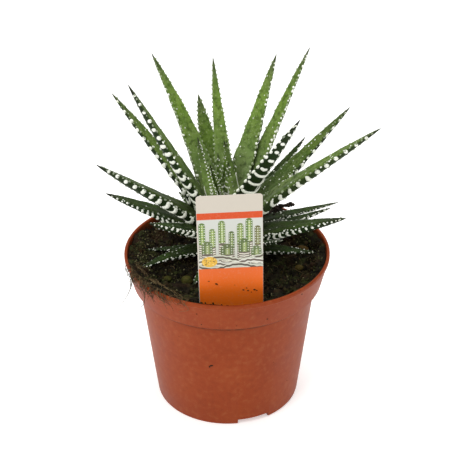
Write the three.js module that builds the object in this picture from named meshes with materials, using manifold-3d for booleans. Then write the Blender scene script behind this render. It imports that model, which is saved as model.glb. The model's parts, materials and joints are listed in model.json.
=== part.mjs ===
// A potted haworthia: a rosette of fleshy pointed leaves on a short crown, in a thin-walled
// terracotta-coloured nursery pot full of dark potting soil, with a plastic plant label pushed in
// at the front. Millimetres, +Z up. The origin is the middle of the pot's base, where the pot
// stands on the table. +X is to the right and -Y is the front, where the label stands.
import * as THREE from "three";
import { mergeVertices } from "three/addons/utils/BufferGeometryUtils.js";
import Module from "manifold-3d";

// Pot: a 12 cm moulded nursery pot with a tapered collar round its rim.
const POT_HEIGHT = 95.5;
const RIM_RADIUS = 60;
const LIP_THICKNESS = 1.7;
const LIP_HEIGHT = 2.6;
const COLLAR_HEIGHT = 18.6;
const COLLAR_FOOT_RADIUS = 55.4;
const WALL_TOP_RADIUS = 52;
const WALL_FOOT_RADIUS = 42.6;
const WALL_THICKNESS = 1.3;
const COLLAR_SHELF = 1.8;
const FOOT_EDGE_ROUND = 1.6;
const FOOT_RING_WIDTH = 3.2;
const FOOT_DEPTH = 3.8;
const CENTRE_PAD_RADIUS = 12;
const POT_SEGMENTS = 60;
// Slots through the foot ring let water out from under the pot.
const FOOT_SLOT = { count: 3, width: 19.5, height: 3.4, firstAzimuth: -69 };
const DRAIN_HOLE = { count: 8, radius: 4, ringRadius: 27 };

// Soil: fills the pot, higher on the left, where it comes up to the rim.
const SOIL_LEVEL = 86.5;
const SOIL_MOUND = 2.5;
const SOIL_MOUND_RADIUS = 26;
const SOIL_LEFT_RISE = 3.4;
const SOIL_RIPPLE = 0.7;
const SOIL_SEGMENTS = 40;

// Crown: the short stem that carries the leaves, with a root stub in the soil.
const CROWN_CENTRE = [1, 5, 110];
const CROWN_RADIUS = 9;
const CROWN_HALF_HEIGHT = 20;
const ROOT_STUB_RADIUS = 5;
const ROOT_STUB_FOOT = 72;
const CROWN_SEGMENTS = 24;

// Label: a thin plastic tag with round shoulders and a stake that tapers into the soil.
const LABEL = {
  width: 35.8,
  length: 106,
  thickness: 0.6,
  cornerRadius: 1.8,
  taperStart: 76,
  stakeTop: 80,
  stakeShoulderWidth: 32,
  tipWidth: 7,
  top: 159.2,
  x: 1.2,
  y: -44.6,
  soilHeight: 86,
  leanForward: 3,
  tiltInPlane: 1,
  yaw: 3,
};

// The clearance between pieces that touch on the real plant, and between the soil and the pot.
const GAP = 0.3;
const SOIL_CLEARANCE = 0.5;

// One leaf's outline from its foot (0) to its tip (1), as shares of its width and thickness.
const LEAF_STATIONS = [0, 0.06, 0.14, 0.24, 0.36, 0.5, 0.64, 0.77, 0.88, 0.95];
const FOOT_WIDTH_SHARE = 0.35;
const FOOT_WIDENS_OVER = 0.26;
const TIP_TAPER_POWER = 0.75;
const FOOT_HANGS = 0.46;
const ROLL_STARTS = 0.06;
const ROLL_ENDS = 0.45;
const THICKNESS_SHARE = 0.37;
const TIP_THICKNESS_SHARE = 0.22;
// The section across a leaf: an upper face with a shallow channel, a deeply rounded back. Past the
// foot it is centred on the leaf's line; at the foot it hangs below it, clear of the crown.
const LEAF_SECTION = [
  [0.5, 0.36],
  [0.42, -0.06],
  [0.23, -0.44],
  [0, -0.6],
  [-0.23, -0.44],
  [-0.42, -0.06],
  [-0.5, 0.36],
  [-0.3, 0.46],
  [0, 0.4],
  [0.3, 0.46],
];

// Each leaf: the way it points seen from above (azimuth, 0 is +X and 90 is the back), the height
// of its foot on the crown (level), how steeply it sets off (rise), how much steeper it is at its
// tip (curl), its length and its width. Roll turns a leaf past its foot about its own line.
// Inner leaves stand up, outer ones lie out over the rim.
const LEAVES = {
  inner_leaf_1: { azimuth: 340, level: 127, rise: 100, curl: 3, length: 38, width: 12 },
  inner_leaf_2: { azimuth: 215, level: 118, rise: 76, curl: 3, length: 56, width: 14 },
  inner_leaf_3: { azimuth: 222, level: 127, rise: 70, curl: 4, length: 28, width: 9 },
  inner_leaf_4: { azimuth: 100, level: 124, rise: 57, curl: 4, length: 82, width: 12 },
  inner_leaf_5: { azimuth: 49.5, level: 128, rise: 60, curl: 5, length: 84, width: 16 },
  inner_leaf_6: { azimuth: 312, level: 124, rise: 56.5, curl: -1, length: 89, width: 16.5 },
  middle_leaf_1: { azimuth: 138, level: 115, rise: 67, curl: -14, length: 99.5, width: 17 },
  middle_leaf_2: { azimuth: 191, level: 116, rise: 60.5, curl: 3.5, length: 99.5, width: 18.5, roll: -8 },
  middle_leaf_3: { azimuth: 159, level: 111, rise: 49, curl: 0, length: 94.5, width: 17.5, roll: 4 },
  middle_leaf_4: { azimuth: 29, level: 122, rise: 62.5, curl: 0, length: 99, width: 14 },
  middle_leaf_5: { azimuth: 350, level: 115, rise: 41.5, curl: -3, length: 99.5, width: 18 },
  middle_leaf_6: { azimuth: 24, level: 113, rise: 36.5, curl: 6, length: 89, width: 17 },
  middle_leaf_7: { azimuth: 47, level: 109, rise: 26, curl: 5, length: 67.5, width: 12 },
  middle_leaf_8: { azimuth: 109, level: 110, rise: 52, curl: 3, length: 74, width: 21 },
  middle_leaf_9: { azimuth: 192, level: 110, rise: 35, curl: 2, length: 81.5, width: 19.5, roll: 10 },
  middle_leaf_10: { azimuth: 251, level: 110, rise: 42, curl: 5, length: 48, width: 15 },
  middle_leaf_11: { azimuth: 290, level: 112, rise: 45, curl: 4, length: 46, width: 14 },
  outer_leaf_1: { azimuth: 169.5, level: 104.3, rise: 14.5, curl: 4, length: 67, width: 20.5, roll: 8 },
  outer_leaf_2: { azimuth: 139, level: 103.5, rise: 1, curl: 1, length: 66, width: 11 },
  outer_leaf_3: { azimuth: 218.5, level: 106, rise: 27.5, curl: 1, length: 53.5, width: 17.5 },
  outer_leaf_4: { azimuth: 200, level: 96, rise: 6, curl: -24, length: 50, width: 13 },
  outer_leaf_5: { azimuth: 240, level: 97, rise: -10, curl: 0, length: 35, width: 11 },
  outer_leaf_6: { azimuth: 35, level: 106, rise: -8, curl: 2, length: 75, width: 10 },
  outer_leaf_7: { azimuth: 12, level: 100, rise: 12, curl: 3, length: 55.5, width: 12, roll: -6 },
  outer_leaf_8: { azimuth: 342, level: 103, rise: 19.5, curl: 2, length: 65, width: 21, roll: -4 },
  outer_leaf_9: { azimuth: 354, level: 94, rise: 1, curl: -4, length: 46, width: 13 },
  outer_leaf_10: { azimuth: 310.5, level: 99, rise: 28, curl: 0, length: 44.5, width: 9 },
  outer_leaf_11: { azimuth: 271, level: 98, rise: 14, curl: 4, length: 36, width: 14 },
  outer_leaf_12: { azimuth: 303, level: 95, rise: 4, curl: 4, length: 29, width: 13 },
  outer_leaf_13: { azimuth: 56, level: 98, rise: 4, curl: 8, length: 56, width: 15 },
  outer_leaf_14: { azimuth: 78, level: 102, rise: 10, curl: 8, length: 58, width: 15 },
  outer_leaf_15: { azimuth: 98, level: 96, rise: 2, curl: 8, length: 54, width: 12 },
  outer_leaf_16: { azimuth: 121, level: 99, rise: 2, curl: 6, length: 52, width: 12 },
  outer_leaf_17: { azimuth: 71, level: 112, rise: 30, curl: 6, length: 40, width: 12 },
  outer_leaf_18: { azimuth: 178, level: 94, rise: -4, curl: 2, length: 43.5, width: 9 },
  withered_leaf: { azimuth: 25, level: 108, rise: 8, curl: 6, length: 33, width: 4 },
};

// Pebbles in the soil surface, each with its middle seen from above and its half lengths.
const PEBBLES = {
  pebble_right: { x: 45, y: 13, half: [4, 3.4, 3.4] },
  pebble_right_small: { x: 42, y: -7, half: [2.6, 2.2, 1.9] },
  pebble_front_left: { x: -23, y: -23, half: [3.6, 3.2, 2.8] },
  pebble_left: { x: -34, y: -22, half: [2.6, 2.2, 1.8] },
  pebble_back: { x: -14, y: 42, half: [3, 2.6, 2.2] },
};
const PEBBLE_SHOWS = 0.55;

const LEAF_GREEN = new THREE.MeshStandardMaterial({ color: 0x5c7c35, roughness: 0.5, metalness: 0 });
const OLD_LEAF_GREEN = new THREE.MeshStandardMaterial({ color: 0x2e4a2a, roughness: 0.5, metalness: 0 });
const WITHERED_BROWN = new THREE.MeshStandardMaterial({ color: 0x33281c, roughness: 0.9, metalness: 0 });
const CROWN_GREEN = new THREE.MeshStandardMaterial({ color: 0xa3ac78, roughness: 0.7, metalness: 0 });
const TERRACOTTA = new THREE.MeshStandardMaterial({ color: 0xa34a2c, roughness: 0.45, metalness: 0 });
const PEAT = new THREE.MeshStandardMaterial({ color: 0x1d1710, roughness: 1, metalness: 0 });
const GRAVEL = new THREE.MeshStandardMaterial({ color: 0x6f6435, roughness: 0.8, metalness: 0 });
const LABEL_WHITE = new THREE.MeshStandardMaterial({ color: 0xdedcd6, roughness: 0.35, metalness: 0 });

const wasm = await Module();
wasm.setup();

const degrees = THREE.MathUtils.degToRad;

// A closed skin through rings of points, from a first point to a last one.
function loft(first, rings, last) {
  const around = rings[0].length;
  const points = [first, ...rings.flat(), last];
  const lastIndex = points.length - 1;
  const faces = [];
  for (let k = 0; k < around; k++) {
    const next = (k + 1) % around;
    faces.push(0, 1 + next, 1 + k);
    for (let r = 0; r + 1 < rings.length; r++) {
      const low = 1 + r * around;
      const high = low + around;
      faces.push(low + k, low + next, high + next, low + k, high + next, high + k);
    }
    const lastRing = 1 + (rings.length - 1) * around;
    faces.push(lastRing + k, lastRing + next, lastIndex);
  }
  const geometry = new THREE.BufferGeometry();
  geometry.setAttribute("position", new THREE.Float32BufferAttribute(points.flatMap((p) => p.toArray()), 3));
  geometry.setIndex(faces);
  return geometry;
}

function ringAt(radius, count, height) {
  return Array.from({ length: count }, (_, k) => {
    const angle = (k / count) * Math.PI * 2;
    const x = radius * Math.cos(angle);
    const y = radius * Math.sin(angle);
    return new THREE.Vector3(x, y, typeof height === "function" ? height(x, y) : height);
  });
}

// A shape with the object's own turn and place, as a solid that can be cut.
function solid(geometry, matrix = new THREE.Matrix4()) {
  const bare = new THREE.BufferGeometry();
  const source = geometry.index ? geometry.toNonIndexed() : geometry;
  bare.setAttribute("position", source.getAttribute("position").clone());
  bare.applyMatrix4(matrix);
  const merged = mergeVertices(bare, 1e-4);
  return new wasm.Manifold(
    new wasm.Mesh({
      numProp: 3,
      vertProperties: merged.attributes.position.array,
      triVerts: new Uint32Array(merged.index.array),
    }),
  );
}

function geometryOf(manifold) {
  const mesh = manifold.getMesh();
  const geometry = new THREE.BufferGeometry();
  geometry.setAttribute("position", new THREE.BufferAttribute(mesh.vertProperties, 3));
  geometry.setIndex(new THREE.BufferAttribute(mesh.triVerts, 1));
  geometry.computeVertexNormals();
  return geometry;
}

function named(name, geometry, material) {
  const mesh = new THREE.Mesh(geometry, material);
  mesh.name = name;
  return mesh;
}

function turned(profile, segments) {
  const outline = profile.map(([radius, height]) => new THREE.Vector2(radius, height));
  const geometry = new THREE.LatheGeometry(outline, segments);
  return geometry.applyMatrix4(new THREE.Matrix4().makeRotationX(Math.PI / 2));
}

// The pot's inner wall radius at a height, which the soil follows.
const COLLAR_FOOT = POT_HEIGHT - COLLAR_HEIGHT;
const FLOOR_TOP = FOOT_DEPTH + WALL_THICKNESS;
function outerWallRadius(height) {
  return WALL_FOOT_RADIUS + ((WALL_TOP_RADIUS - WALL_FOOT_RADIUS) * height) / COLLAR_FOOT;
}

function pot() {
  const lipFoot = POT_HEIGHT - LIP_HEIGHT;
  const innerStep = COLLAR_FOOT - WALL_THICKNESS;
  const footInner = WALL_FOOT_RADIUS - FOOT_RING_WIDTH;
  const profile = [
    [0, 0],
    [CENTRE_PAD_RADIUS - FOOT_EDGE_ROUND, 0],
    [CENTRE_PAD_RADIUS, FOOT_DEPTH],
    [footInner, FOOT_DEPTH],
    [footInner + 0.4, 0],
    [WALL_FOOT_RADIUS - FOOT_EDGE_ROUND, 0],
    [WALL_FOOT_RADIUS - 0.3, FOOT_EDGE_ROUND * 0.45],
    [outerWallRadius(FOOT_EDGE_ROUND * 1.5), FOOT_EDGE_ROUND * 1.5],
    [outerWallRadius(COLLAR_FOOT), COLLAR_FOOT],
    [COLLAR_FOOT_RADIUS - 0.5, COLLAR_FOOT],
    [COLLAR_FOOT_RADIUS, COLLAR_FOOT + 0.6],
    [RIM_RADIUS - 0.7, lipFoot],
    [RIM_RADIUS, lipFoot + 0.5],
    [RIM_RADIUS, POT_HEIGHT - 0.5],
    [RIM_RADIUS - 0.5, POT_HEIGHT],
    [RIM_RADIUS - LIP_THICKNESS, POT_HEIGHT],
    [RIM_RADIUS - LIP_THICKNESS - 0.3, lipFoot],
    [COLLAR_FOOT_RADIUS - WALL_THICKNESS, COLLAR_FOOT + 0.6],
    [outerWallRadius(innerStep) - WALL_THICKNESS, innerStep],
    [outerWallRadius(FLOOR_TOP) - WALL_THICKNESS, FLOOR_TOP],
    [0, FLOOR_TOP],
  ];
  let body = solid(turned(profile, POT_SEGMENTS));
  for (let k = 0; k < FOOT_SLOT.count; k++) {
    const azimuth = degrees(FOOT_SLOT.firstAzimuth + (360 / FOOT_SLOT.count) * k);
    const slot = new THREE.BoxGeometry(3 * FOOT_RING_WIDTH, FOOT_SLOT.width, 2 * FOOT_SLOT.height);
    const middle = WALL_FOOT_RADIUS - FOOT_RING_WIDTH / 2;
    const place = new THREE.Matrix4().makeRotationZ(azimuth);
    place.multiply(new THREE.Matrix4().makeTranslation(middle, 0, 0));
    body = body.subtract(solid(slot, place));
  }
  for (let k = 0; k < DRAIN_HOLE.count; k++) {
    const azimuth = ((k + 0.5) / DRAIN_HOLE.count) * Math.PI * 2;
    const hole = new THREE.CylinderGeometry(DRAIN_HOLE.radius, DRAIN_HOLE.radius, 3 * FLOOR_TOP, 16);
    const place = new THREE.Matrix4().makeTranslation(
      DRAIN_HOLE.ringRadius * Math.cos(azimuth),
      DRAIN_HOLE.ringRadius * Math.sin(azimuth),
      FLOOR_TOP,
    );
    place.multiply(new THREE.Matrix4().makeRotationX(Math.PI / 2));
    body = body.subtract(solid(hole, place));
  }
  return named("nursery_pot", geometryOf(body), TERRACOTTA);
}

// The soil's surface: a low mound round the crown, a rise on the left and gentle ripples.
function soilSurface(x, y) {
  const fromCrown = Math.hypot(x - CROWN_CENTRE[0], y - CROWN_CENTRE[1]);
  const mound = SOIL_MOUND * Math.exp(-((fromCrown / SOIL_MOUND_RADIUS) ** 2));
  const left = SOIL_LEFT_RISE * THREE.MathUtils.smoothstep(-x - 0.5 * y, 12, 52);
  const ripple = SOIL_RIPPLE * Math.sin(x / 6.1 + 1) * Math.cos(y / 5.3);
  return SOIL_LEVEL + mound + left + ripple;
}

function crownProfile(grow) {
  const steps = 10;
  const startAngle = -Math.acos((ROOT_STUB_RADIUS + 0.5) / CROWN_RADIUS);
  const profile = [
    [0, ROOT_STUB_FOOT - grow],
    [ROOT_STUB_RADIUS * 0.55 + grow, ROOT_STUB_FOOT + 1 - grow],
    [ROOT_STUB_RADIUS + grow, ROOT_STUB_FOOT + 9],
  ];
  for (let k = 0; k < steps; k++) {
    const angle = startAngle + ((Math.PI / 2 - startAngle) * k) / steps;
    profile.push([
      (CROWN_RADIUS + grow) * Math.cos(angle),
      CROWN_CENTRE[2] + (CROWN_HALF_HEIGHT + grow) * Math.sin(angle),
    ]);
  }
  profile.push([0, CROWN_CENTRE[2] + CROWN_HALF_HEIGHT + grow]);
  return profile;
}

function crownShape(grow) {
  const toAxis = new THREE.Matrix4().makeTranslation(CROWN_CENTRE[0], CROWN_CENTRE[1], 0);
  return turned(crownProfile(grow), CROWN_SEGMENTS).applyMatrix4(toAxis);
}

// A leaf's foot: on the crown's surface at its own level, a hair clear of it.
function leafSeat(leaf) {
  const height = (leaf.level - CROWN_CENTRE[2]) / CROWN_HALF_HEIGHT;
  const reach = Math.sqrt(1 - height ** 2);
  const azimuth = degrees(leaf.azimuth);
  const sideways = new THREE.Vector3(Math.cos(azimuth), Math.sin(azimuth), 0);
  const outward = sideways.clone().multiplyScalar(reach / CROWN_RADIUS);
  outward.z = height / CROWN_HALF_HEIGHT;
  const foot = sideways.multiplyScalar(CROWN_RADIUS * reach).addScaledVector(outward.normalize(), GAP);
  return foot.add(new THREE.Vector3(CROWN_CENTRE[0], CROWN_CENTRE[1], leaf.level));
}

function leafDirection(leaf, along) {
  const azimuth = degrees(leaf.azimuth);
  const rise = degrees(leaf.rise + leaf.curl * along);
  return new THREE.Vector3(
    Math.cos(azimuth) * Math.cos(rise),
    Math.sin(azimuth) * Math.cos(rise),
    Math.sin(rise),
  );
}

function leafWidth(leaf, along) {
  const foot = THREE.MathUtils.lerp(
    FOOT_WIDTH_SHARE,
    1,
    THREE.MathUtils.smoothstep(along, 0, FOOT_WIDENS_OVER),
  );
  return leaf.width * foot * (1 - along) ** TIP_TAPER_POWER;
}

function leafSectionAt(leaf, along, middle) {
  const forward = leafDirection(leaf, along);
  const azimuth = degrees(leaf.azimuth);
  const roll = degrees(leaf.roll ?? 0) * THREE.MathUtils.smoothstep(along, ROLL_STARTS, ROLL_ENDS);
  const across = new THREE.Vector3(Math.sin(azimuth), -Math.cos(azimuth), 0).applyAxisAngle(forward, roll);
  const inward = new THREE.Vector3().crossVectors(across, forward);
  const width = leafWidth(leaf, along);
  const thickness = width * (THICKNESS_SHARE + TIP_THICKNESS_SHARE * along);
  const hangs = FOOT_HANGS * (1 - THREE.MathUtils.smoothstep(along, 0, FOOT_WIDENS_OVER));
  return LEAF_SECTION.map(([x, y]) =>
    middle.clone().addScaledVector(across, x * width).addScaledVector(inward, (y - hangs) * thickness),
  );
}

function leafShape(leaf) {
  const place = leafSeat(leaf);
  const foot = place.clone();
  const rings = [];
  let along = 0;
  for (const station of [...LEAF_STATIONS, 1]) {
    const halfway = leafDirection(leaf, (along + station) / 2);
    place.addScaledVector(halfway, (station - along) * leaf.length);
    along = station;
    if (station < 1) rings.push(leafSectionAt(leaf, station, place));
  }
  return loft(foot, rings, place);
}

function labelOutline() {
  const half = LABEL.width / 2;
  const shoulder = LABEL.stakeShoulderWidth / 2;
  const tip = LABEL.tipWidth / 2;
  const round = LABEL.cornerRadius;
  const shape = new THREE.Shape();
  shape.moveTo(half, -LABEL.taperStart);
  shape.lineTo(half, -round);
  shape.absarc(half - round, -round, round, 0, Math.PI / 2, false);
  shape.lineTo(-half + round, 0);
  shape.absarc(-half + round, -round, round, Math.PI / 2, Math.PI, false);
  shape.lineTo(-half, -LABEL.taperStart);
  shape.lineTo(-shoulder, -LABEL.stakeTop);
  shape.lineTo(-tip, -LABEL.length);
  shape.lineTo(tip, -LABEL.length);
  shape.lineTo(shoulder, -LABEL.stakeTop);
  return shape;
}

// The label stands upright, its printed face to the front, leaning a little over the rim.
function labelShape(grow) {
  const options = { depth: LABEL.thickness + 2 * grow, bevelEnabled: false, curveSegments: 4 };
  const geometry = new THREE.ExtrudeGeometry(labelOutline(), options);
  const lean = degrees(LABEL.leanForward);
  const height = LABEL.top - LABEL.soilHeight;
  const place = new THREE.Matrix4().makeTranslation(LABEL.x, LABEL.y - height * Math.tan(lean), LABEL.top);
  place.multiply(new THREE.Matrix4().makeRotationZ(degrees(LABEL.yaw)));
  place.multiply(new THREE.Matrix4().makeRotationX(Math.PI / 2 + lean));
  place.multiply(new THREE.Matrix4().makeRotationZ(degrees(LABEL.tiltInPlane)));
  place.multiply(new THREE.Matrix4().makeScale(1 + (2 * grow) / LABEL.width, 1 + grow / LABEL.length, 1));
  place.multiply(new THREE.Matrix4().makeTranslation(0, 0, -LABEL.thickness / 2 - grow));
  return geometry.applyMatrix4(place);
}

function pebbleShape(pebble, grow) {
  const half = pebble.half.map((length) => length + grow);
  const middle = soilSurface(pebble.x, pebble.y) + (2 * PEBBLE_SHOWS - 1) * pebble.half[2];
  const place = new THREE.Matrix4().makeTranslation(pebble.x, pebble.y, middle);
  place.multiply(new THREE.Matrix4().makeScale(...half));
  return new THREE.IcosahedronGeometry(1, 1).applyMatrix4(place);
}

function soilBody() {
  const radiusAt = (height) => outerWallRadius(height) - WALL_THICKNESS - SOIL_CLEARANCE;
  const stepHeight = COLLAR_FOOT - WALL_THICKNESS;
  const collarInner = COLLAR_FOOT_RADIUS - WALL_THICKNESS - SOIL_CLEARANCE;
  const collarSlope = (RIM_RADIUS - COLLAR_FOOT_RADIUS) / COLLAR_HEIGHT;
  const edgeHeight = SOIL_LEVEL - COLLAR_FOOT;
  const edgeRadius = collarInner + collarSlope * edgeHeight;
  const floor = FLOOR_TOP + GAP;
  const topRadii = [edgeRadius, 50, 43, 35, 27, 19, 11, 5];
  const rings = [
    ringAt(radiusAt(floor), SOIL_SEGMENTS, floor),
    ringAt(radiusAt(stepHeight), SOIL_SEGMENTS, stepHeight),
    ringAt(collarInner, SOIL_SEGMENTS, COLLAR_FOOT + COLLAR_SHELF),
    ...topRadii.map((radius) => ringAt(radius, SOIL_SEGMENTS, soilSurface)),
  ];
  const bottom = new THREE.Vector3(0, 0, floor);
  const top = new THREE.Vector3(0, 0, soilSurface(0, 0));
  return loft(bottom, rings, top);
}

function soil() {
  let body = solid(soilBody());
  body = body.subtract(solid(crownShape(GAP)));
  body = body.subtract(solid(labelShape(GAP)));
  for (const pebble of Object.values(PEBBLES)) body = body.subtract(solid(pebbleShape(pebble, GAP)));
  return named("potting_soil", geometryOf(body), PEAT);
}

function leafMaterial(name) {
  if (name.startsWith("withered")) return WITHERED_BROWN;
  return name.startsWith("outer") ? OLD_LEAF_GREEN : LEAF_GREEN;
}

const plant = new THREE.Group();
plant.add(named("crown_stem", crownShape(0), CROWN_GREEN));
for (const [name, leaf] of Object.entries(LEAVES)) {
  plant.add(named(name, leafShape(leaf), leafMaterial(name)));
}

const pottedHaworthia = new THREE.Group();
pottedHaworthia.add(pot(), soil(), plant, named("plant_label", labelShape(0), LABEL_WHITE));
for (const [name, pebble] of Object.entries(PEBBLES)) {
  pottedHaworthia.add(named(name, pebbleShape(pebble, 0), GRAVEL));
}

export default pottedHaworthia;
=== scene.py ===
# %% [markdown]
# # A potted haworthia, step by step
#
# This lesson rebuilds a small rosette succulent in a plastic nursery pot. The solids come from the
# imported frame, in metres, with the origin under the middle of the pot. Here we give them skin: fleshy
# leaves with raised white bands, crumbly soil, a moulded pot and a printed label.

# %% Load the frame
import collections
import json
import math
import random

import bmesh
import bpy
import numpy as np
from mathutils import Matrix, Vector, noise

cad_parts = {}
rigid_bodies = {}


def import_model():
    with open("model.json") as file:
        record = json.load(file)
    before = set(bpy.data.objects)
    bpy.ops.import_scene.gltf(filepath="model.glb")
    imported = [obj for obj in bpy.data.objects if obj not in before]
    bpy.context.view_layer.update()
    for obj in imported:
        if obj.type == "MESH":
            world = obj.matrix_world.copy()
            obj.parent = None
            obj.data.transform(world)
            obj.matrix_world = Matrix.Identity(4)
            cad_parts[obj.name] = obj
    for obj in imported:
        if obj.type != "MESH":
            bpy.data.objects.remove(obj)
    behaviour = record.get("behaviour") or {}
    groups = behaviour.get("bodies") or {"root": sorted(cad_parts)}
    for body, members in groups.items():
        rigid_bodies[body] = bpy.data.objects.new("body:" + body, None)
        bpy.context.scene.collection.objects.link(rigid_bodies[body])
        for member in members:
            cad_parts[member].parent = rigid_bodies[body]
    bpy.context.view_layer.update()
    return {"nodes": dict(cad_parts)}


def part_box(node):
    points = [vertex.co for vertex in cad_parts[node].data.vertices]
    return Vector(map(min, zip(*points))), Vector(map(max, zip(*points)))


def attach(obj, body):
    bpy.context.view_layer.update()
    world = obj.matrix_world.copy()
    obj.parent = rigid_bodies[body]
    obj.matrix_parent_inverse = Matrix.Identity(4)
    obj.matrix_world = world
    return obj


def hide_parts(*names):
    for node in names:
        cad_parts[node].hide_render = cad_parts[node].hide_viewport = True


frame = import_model()
nodes = frame["nodes"]
MM = 0.001

# %% [markdown]
# ## Small helpers
#
# Colours are written as the hex values that a paint program shows. Cycles wants linear light, so one
# function turns them. Another adds any node with its settings and links. It sets a colour ramp's stops
# and fills the sockets by two small ones, because a material's own shader is there already and only has
# to be filled. Most patterns here are layers of colour, each a range and a mix, so one function lays
# them. The last ones make objects and meshes from arrays of points and faces, store values on a mesh,
# and keep a mesh while its object is thrown away.


# %% Helpers
def colour(hex_value):
    """Linear RGBA for an sRGB hex colour."""
    channels = []
    for shift in (16, 8, 0):
        value = ((hex_value >> shift) & 255) / 255
        channels.append(value / 12.92 if value <= 0.04045 else ((value + 0.055) / 1.055) ** 2.4)
    return (*channels, 1.0)


def fill(tree, node, links, **values):
    """Fills a node's sockets, each from another node's socket or with a value; _ stands for a space."""
    links = {**links, **{key.replace("_", " "): value for key, value in values.items()}}
    for key, value in links.items():
        if isinstance(value, bpy.types.NodeSocket):
            tree.links.new(value, node.inputs[key])
        else:
            node.inputs[key].default_value = value


def set_stops(elements, stops):
    """Sets a colour ramp's stops, each a position and a hex colour."""
    while len(elements) < len(stops):
        elements.new(0.5)
    for element, (position, shade) in zip(elements, stops):
        element.position = position
        element.color = colour(shade)


def add(tree, kind, settings=None, links=None, **values):
    """Adds a node; settings are its properties or its stops, and links and values fill its sockets."""
    node = tree.nodes.new(kind)
    for key, value in (settings or {}).items():
        if key == "stops":
            set_stops(node.color_ramp.elements, value)
        else:
            setattr(node, key, value)
    fill(tree, node, links or {}, **values)
    return node


def new_material(name):
    """A material and its node tree, with only a Principled shader and the output."""
    material = bpy.data.materials.new(name)
    material.use_nodes = True
    tree = material.node_tree
    return material, tree, tree.nodes["Principled BSDF"]


# A mix of colours takes its share in socket 0 and the colours in 6 and 7, and gives them out at 2. A
# range takes its source in socket 0, where that starts and ends in 1 and 2, and what it becomes in 3 and 4.
COLOUR_MIX = {"data_type": "RGBA"}


def layered(tree, shade, layers):
    """A colour with others over it; a layer is a source, its range, its greatest share and its colour."""
    for source, low, high, share, over in layers:
        ends = {0: source, 1: low, 2: high, 3: 0.0, 4: share}
        amount = add(tree, "ShaderNodeMapRange", links=ends).outputs[0]
        over = colour(over) if isinstance(over, int) else over
        shade = add(tree, "ShaderNodeMix", COLOUR_MIX, {0: amount, 6: shade, 7: over}).outputs[2]
    return shade


def placed(name, data):
    """An object at the origin that shows a mesh, a camera or a lamp."""
    thing = bpy.data.objects.new(name, data)
    bpy.context.scene.collection.objects.link(thing)
    return thing


def mesh_object(name, points, faces, materials=(), smooth=True):
    """An object at the origin whose mesh is made of these points and faces."""
    mesh = bpy.data.meshes.new(name)
    mesh.from_pydata([tuple(p) for p in points], [], [tuple(f) for f in faces])
    for material in materials:
        mesh.materials.append(material)
    if smooth:
        mesh.shade_smooth()
    mesh.update()
    return placed(name, mesh)


def set_attribute(mesh, name, values, kind="FLOAT"):
    """Stores one value for each point of a mesh under a name that materials and node trees can read."""
    attribute = mesh.attributes.new(name, kind, "POINT")
    key = "vector" if kind == "FLOAT_VECTOR" else "value"
    attribute.data.foreach_set(key, np.asarray(values, dtype=np.float32).ravel())


def mesh_alone(thing):
    """An object's mesh, once the object itself is thrown away."""
    mesh = thing.data
    bpy.data.objects.remove(thing)
    return mesh


def unit(vectors):
    return vectors / np.linalg.norm(vectors, axis=-1, keepdims=True)


print("white in linear light:", colour(0xFFFFFF))

# %% [markdown]
# ## The camera
#
# The photograph looks down on the pot from about thirty degrees. A camera can be aimed by a constraint;
# here its three axes are worked out instead, so that its slight roll is one more number. The distance,
# height and focal length are those that make the pot's rim, collar and foot fall where they do in the
# picture.

# %% Camera
CAMERA_ELEVATION = math.radians(30.55)
CAMERA_DISTANCE = 800 * MM
CAMERA_AIM = Vector((-1.07, 0, 112.1)) * MM
CAMERA_ROLL = math.radians(-0.37)
CAMERA_LENS = 110.7

back = Vector((0, -math.cos(CAMERA_ELEVATION), math.sin(CAMERA_ELEVATION)))
level_right = Vector((1, 0, 0))
level_up = back.cross(level_right)
right = level_right * math.cos(CAMERA_ROLL) + level_up * math.sin(CAMERA_ROLL)
above = back.cross(right)
camera_data = bpy.data.cameras.new("camera")
camera_data.lens = CAMERA_LENS
camera_data.sensor_width = 36
camera = placed("camera", camera_data)
camera.matrix_world = Matrix.Translation(CAMERA_AIM + back * CAMERA_DISTANCE) @ Matrix(
    (right, above, back)
).transposed().to_4x4()
bpy.context.scene.camera = camera
print("camera", [round(v, 3) for v in camera.location])

# %% [markdown]
# ## Leaf flesh
#
# A haworthia leaf is firm, wet tissue under a thin waxy skin that was grown, not painted. Light goes a
# little way into it, so it glows slightly at thin edges, and the wax gives a broad soft gloss. The face
# that looks at the middle of the rosette is a lighter, yellower green than the back, and the tip dries to
# brown. The colour could be painted on an image of each leaf. Here one material reads four values from
# every leaf's mesh instead: how far along it a point is, whether it is on the upper face, how far
# across, and how old and dark the whole leaf is, a darkness that is partly painted shade. That needs no
# unwrapping and serves all the leaves.


# %% Leaf greens
# Each ramp runs from the foot to the tip: young and old upper face, then young and old back. The old
# ramps hold painted shade as well as the dark of age, and are darkest a little above the foot.
LEAF_GREENS = (
    (
        (0.0, 0x8A966C),
        (0.14, 0x76895A),
        (0.38, 0x6A8342),
        (0.66, 0x6C8A35),
        (0.84, 0x62783A),
        (0.93, 0x49553A),
        (1.0, 0x2F3228),
    ),
    ((0.0, 0x212B1B), (0.2, 0x151E0F), (0.5, 0x192810), (0.75, 0x213315), (0.96, 0x1A1D15)),
    ((0.0, 0x93A07A), (0.14, 0x7E9058), (0.5, 0x6F8845), (0.86, 0x576B36), (0.97, 0x363B2A)),
    ((0.0, 0x2C3A20), (0.15, 0x16230E), (0.6, 0x1F3015), (0.88, 0x28341E), (0.97, 0x1A1B14)),
)
print("greens for", len(LEAF_GREENS), "kinds of face")


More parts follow.
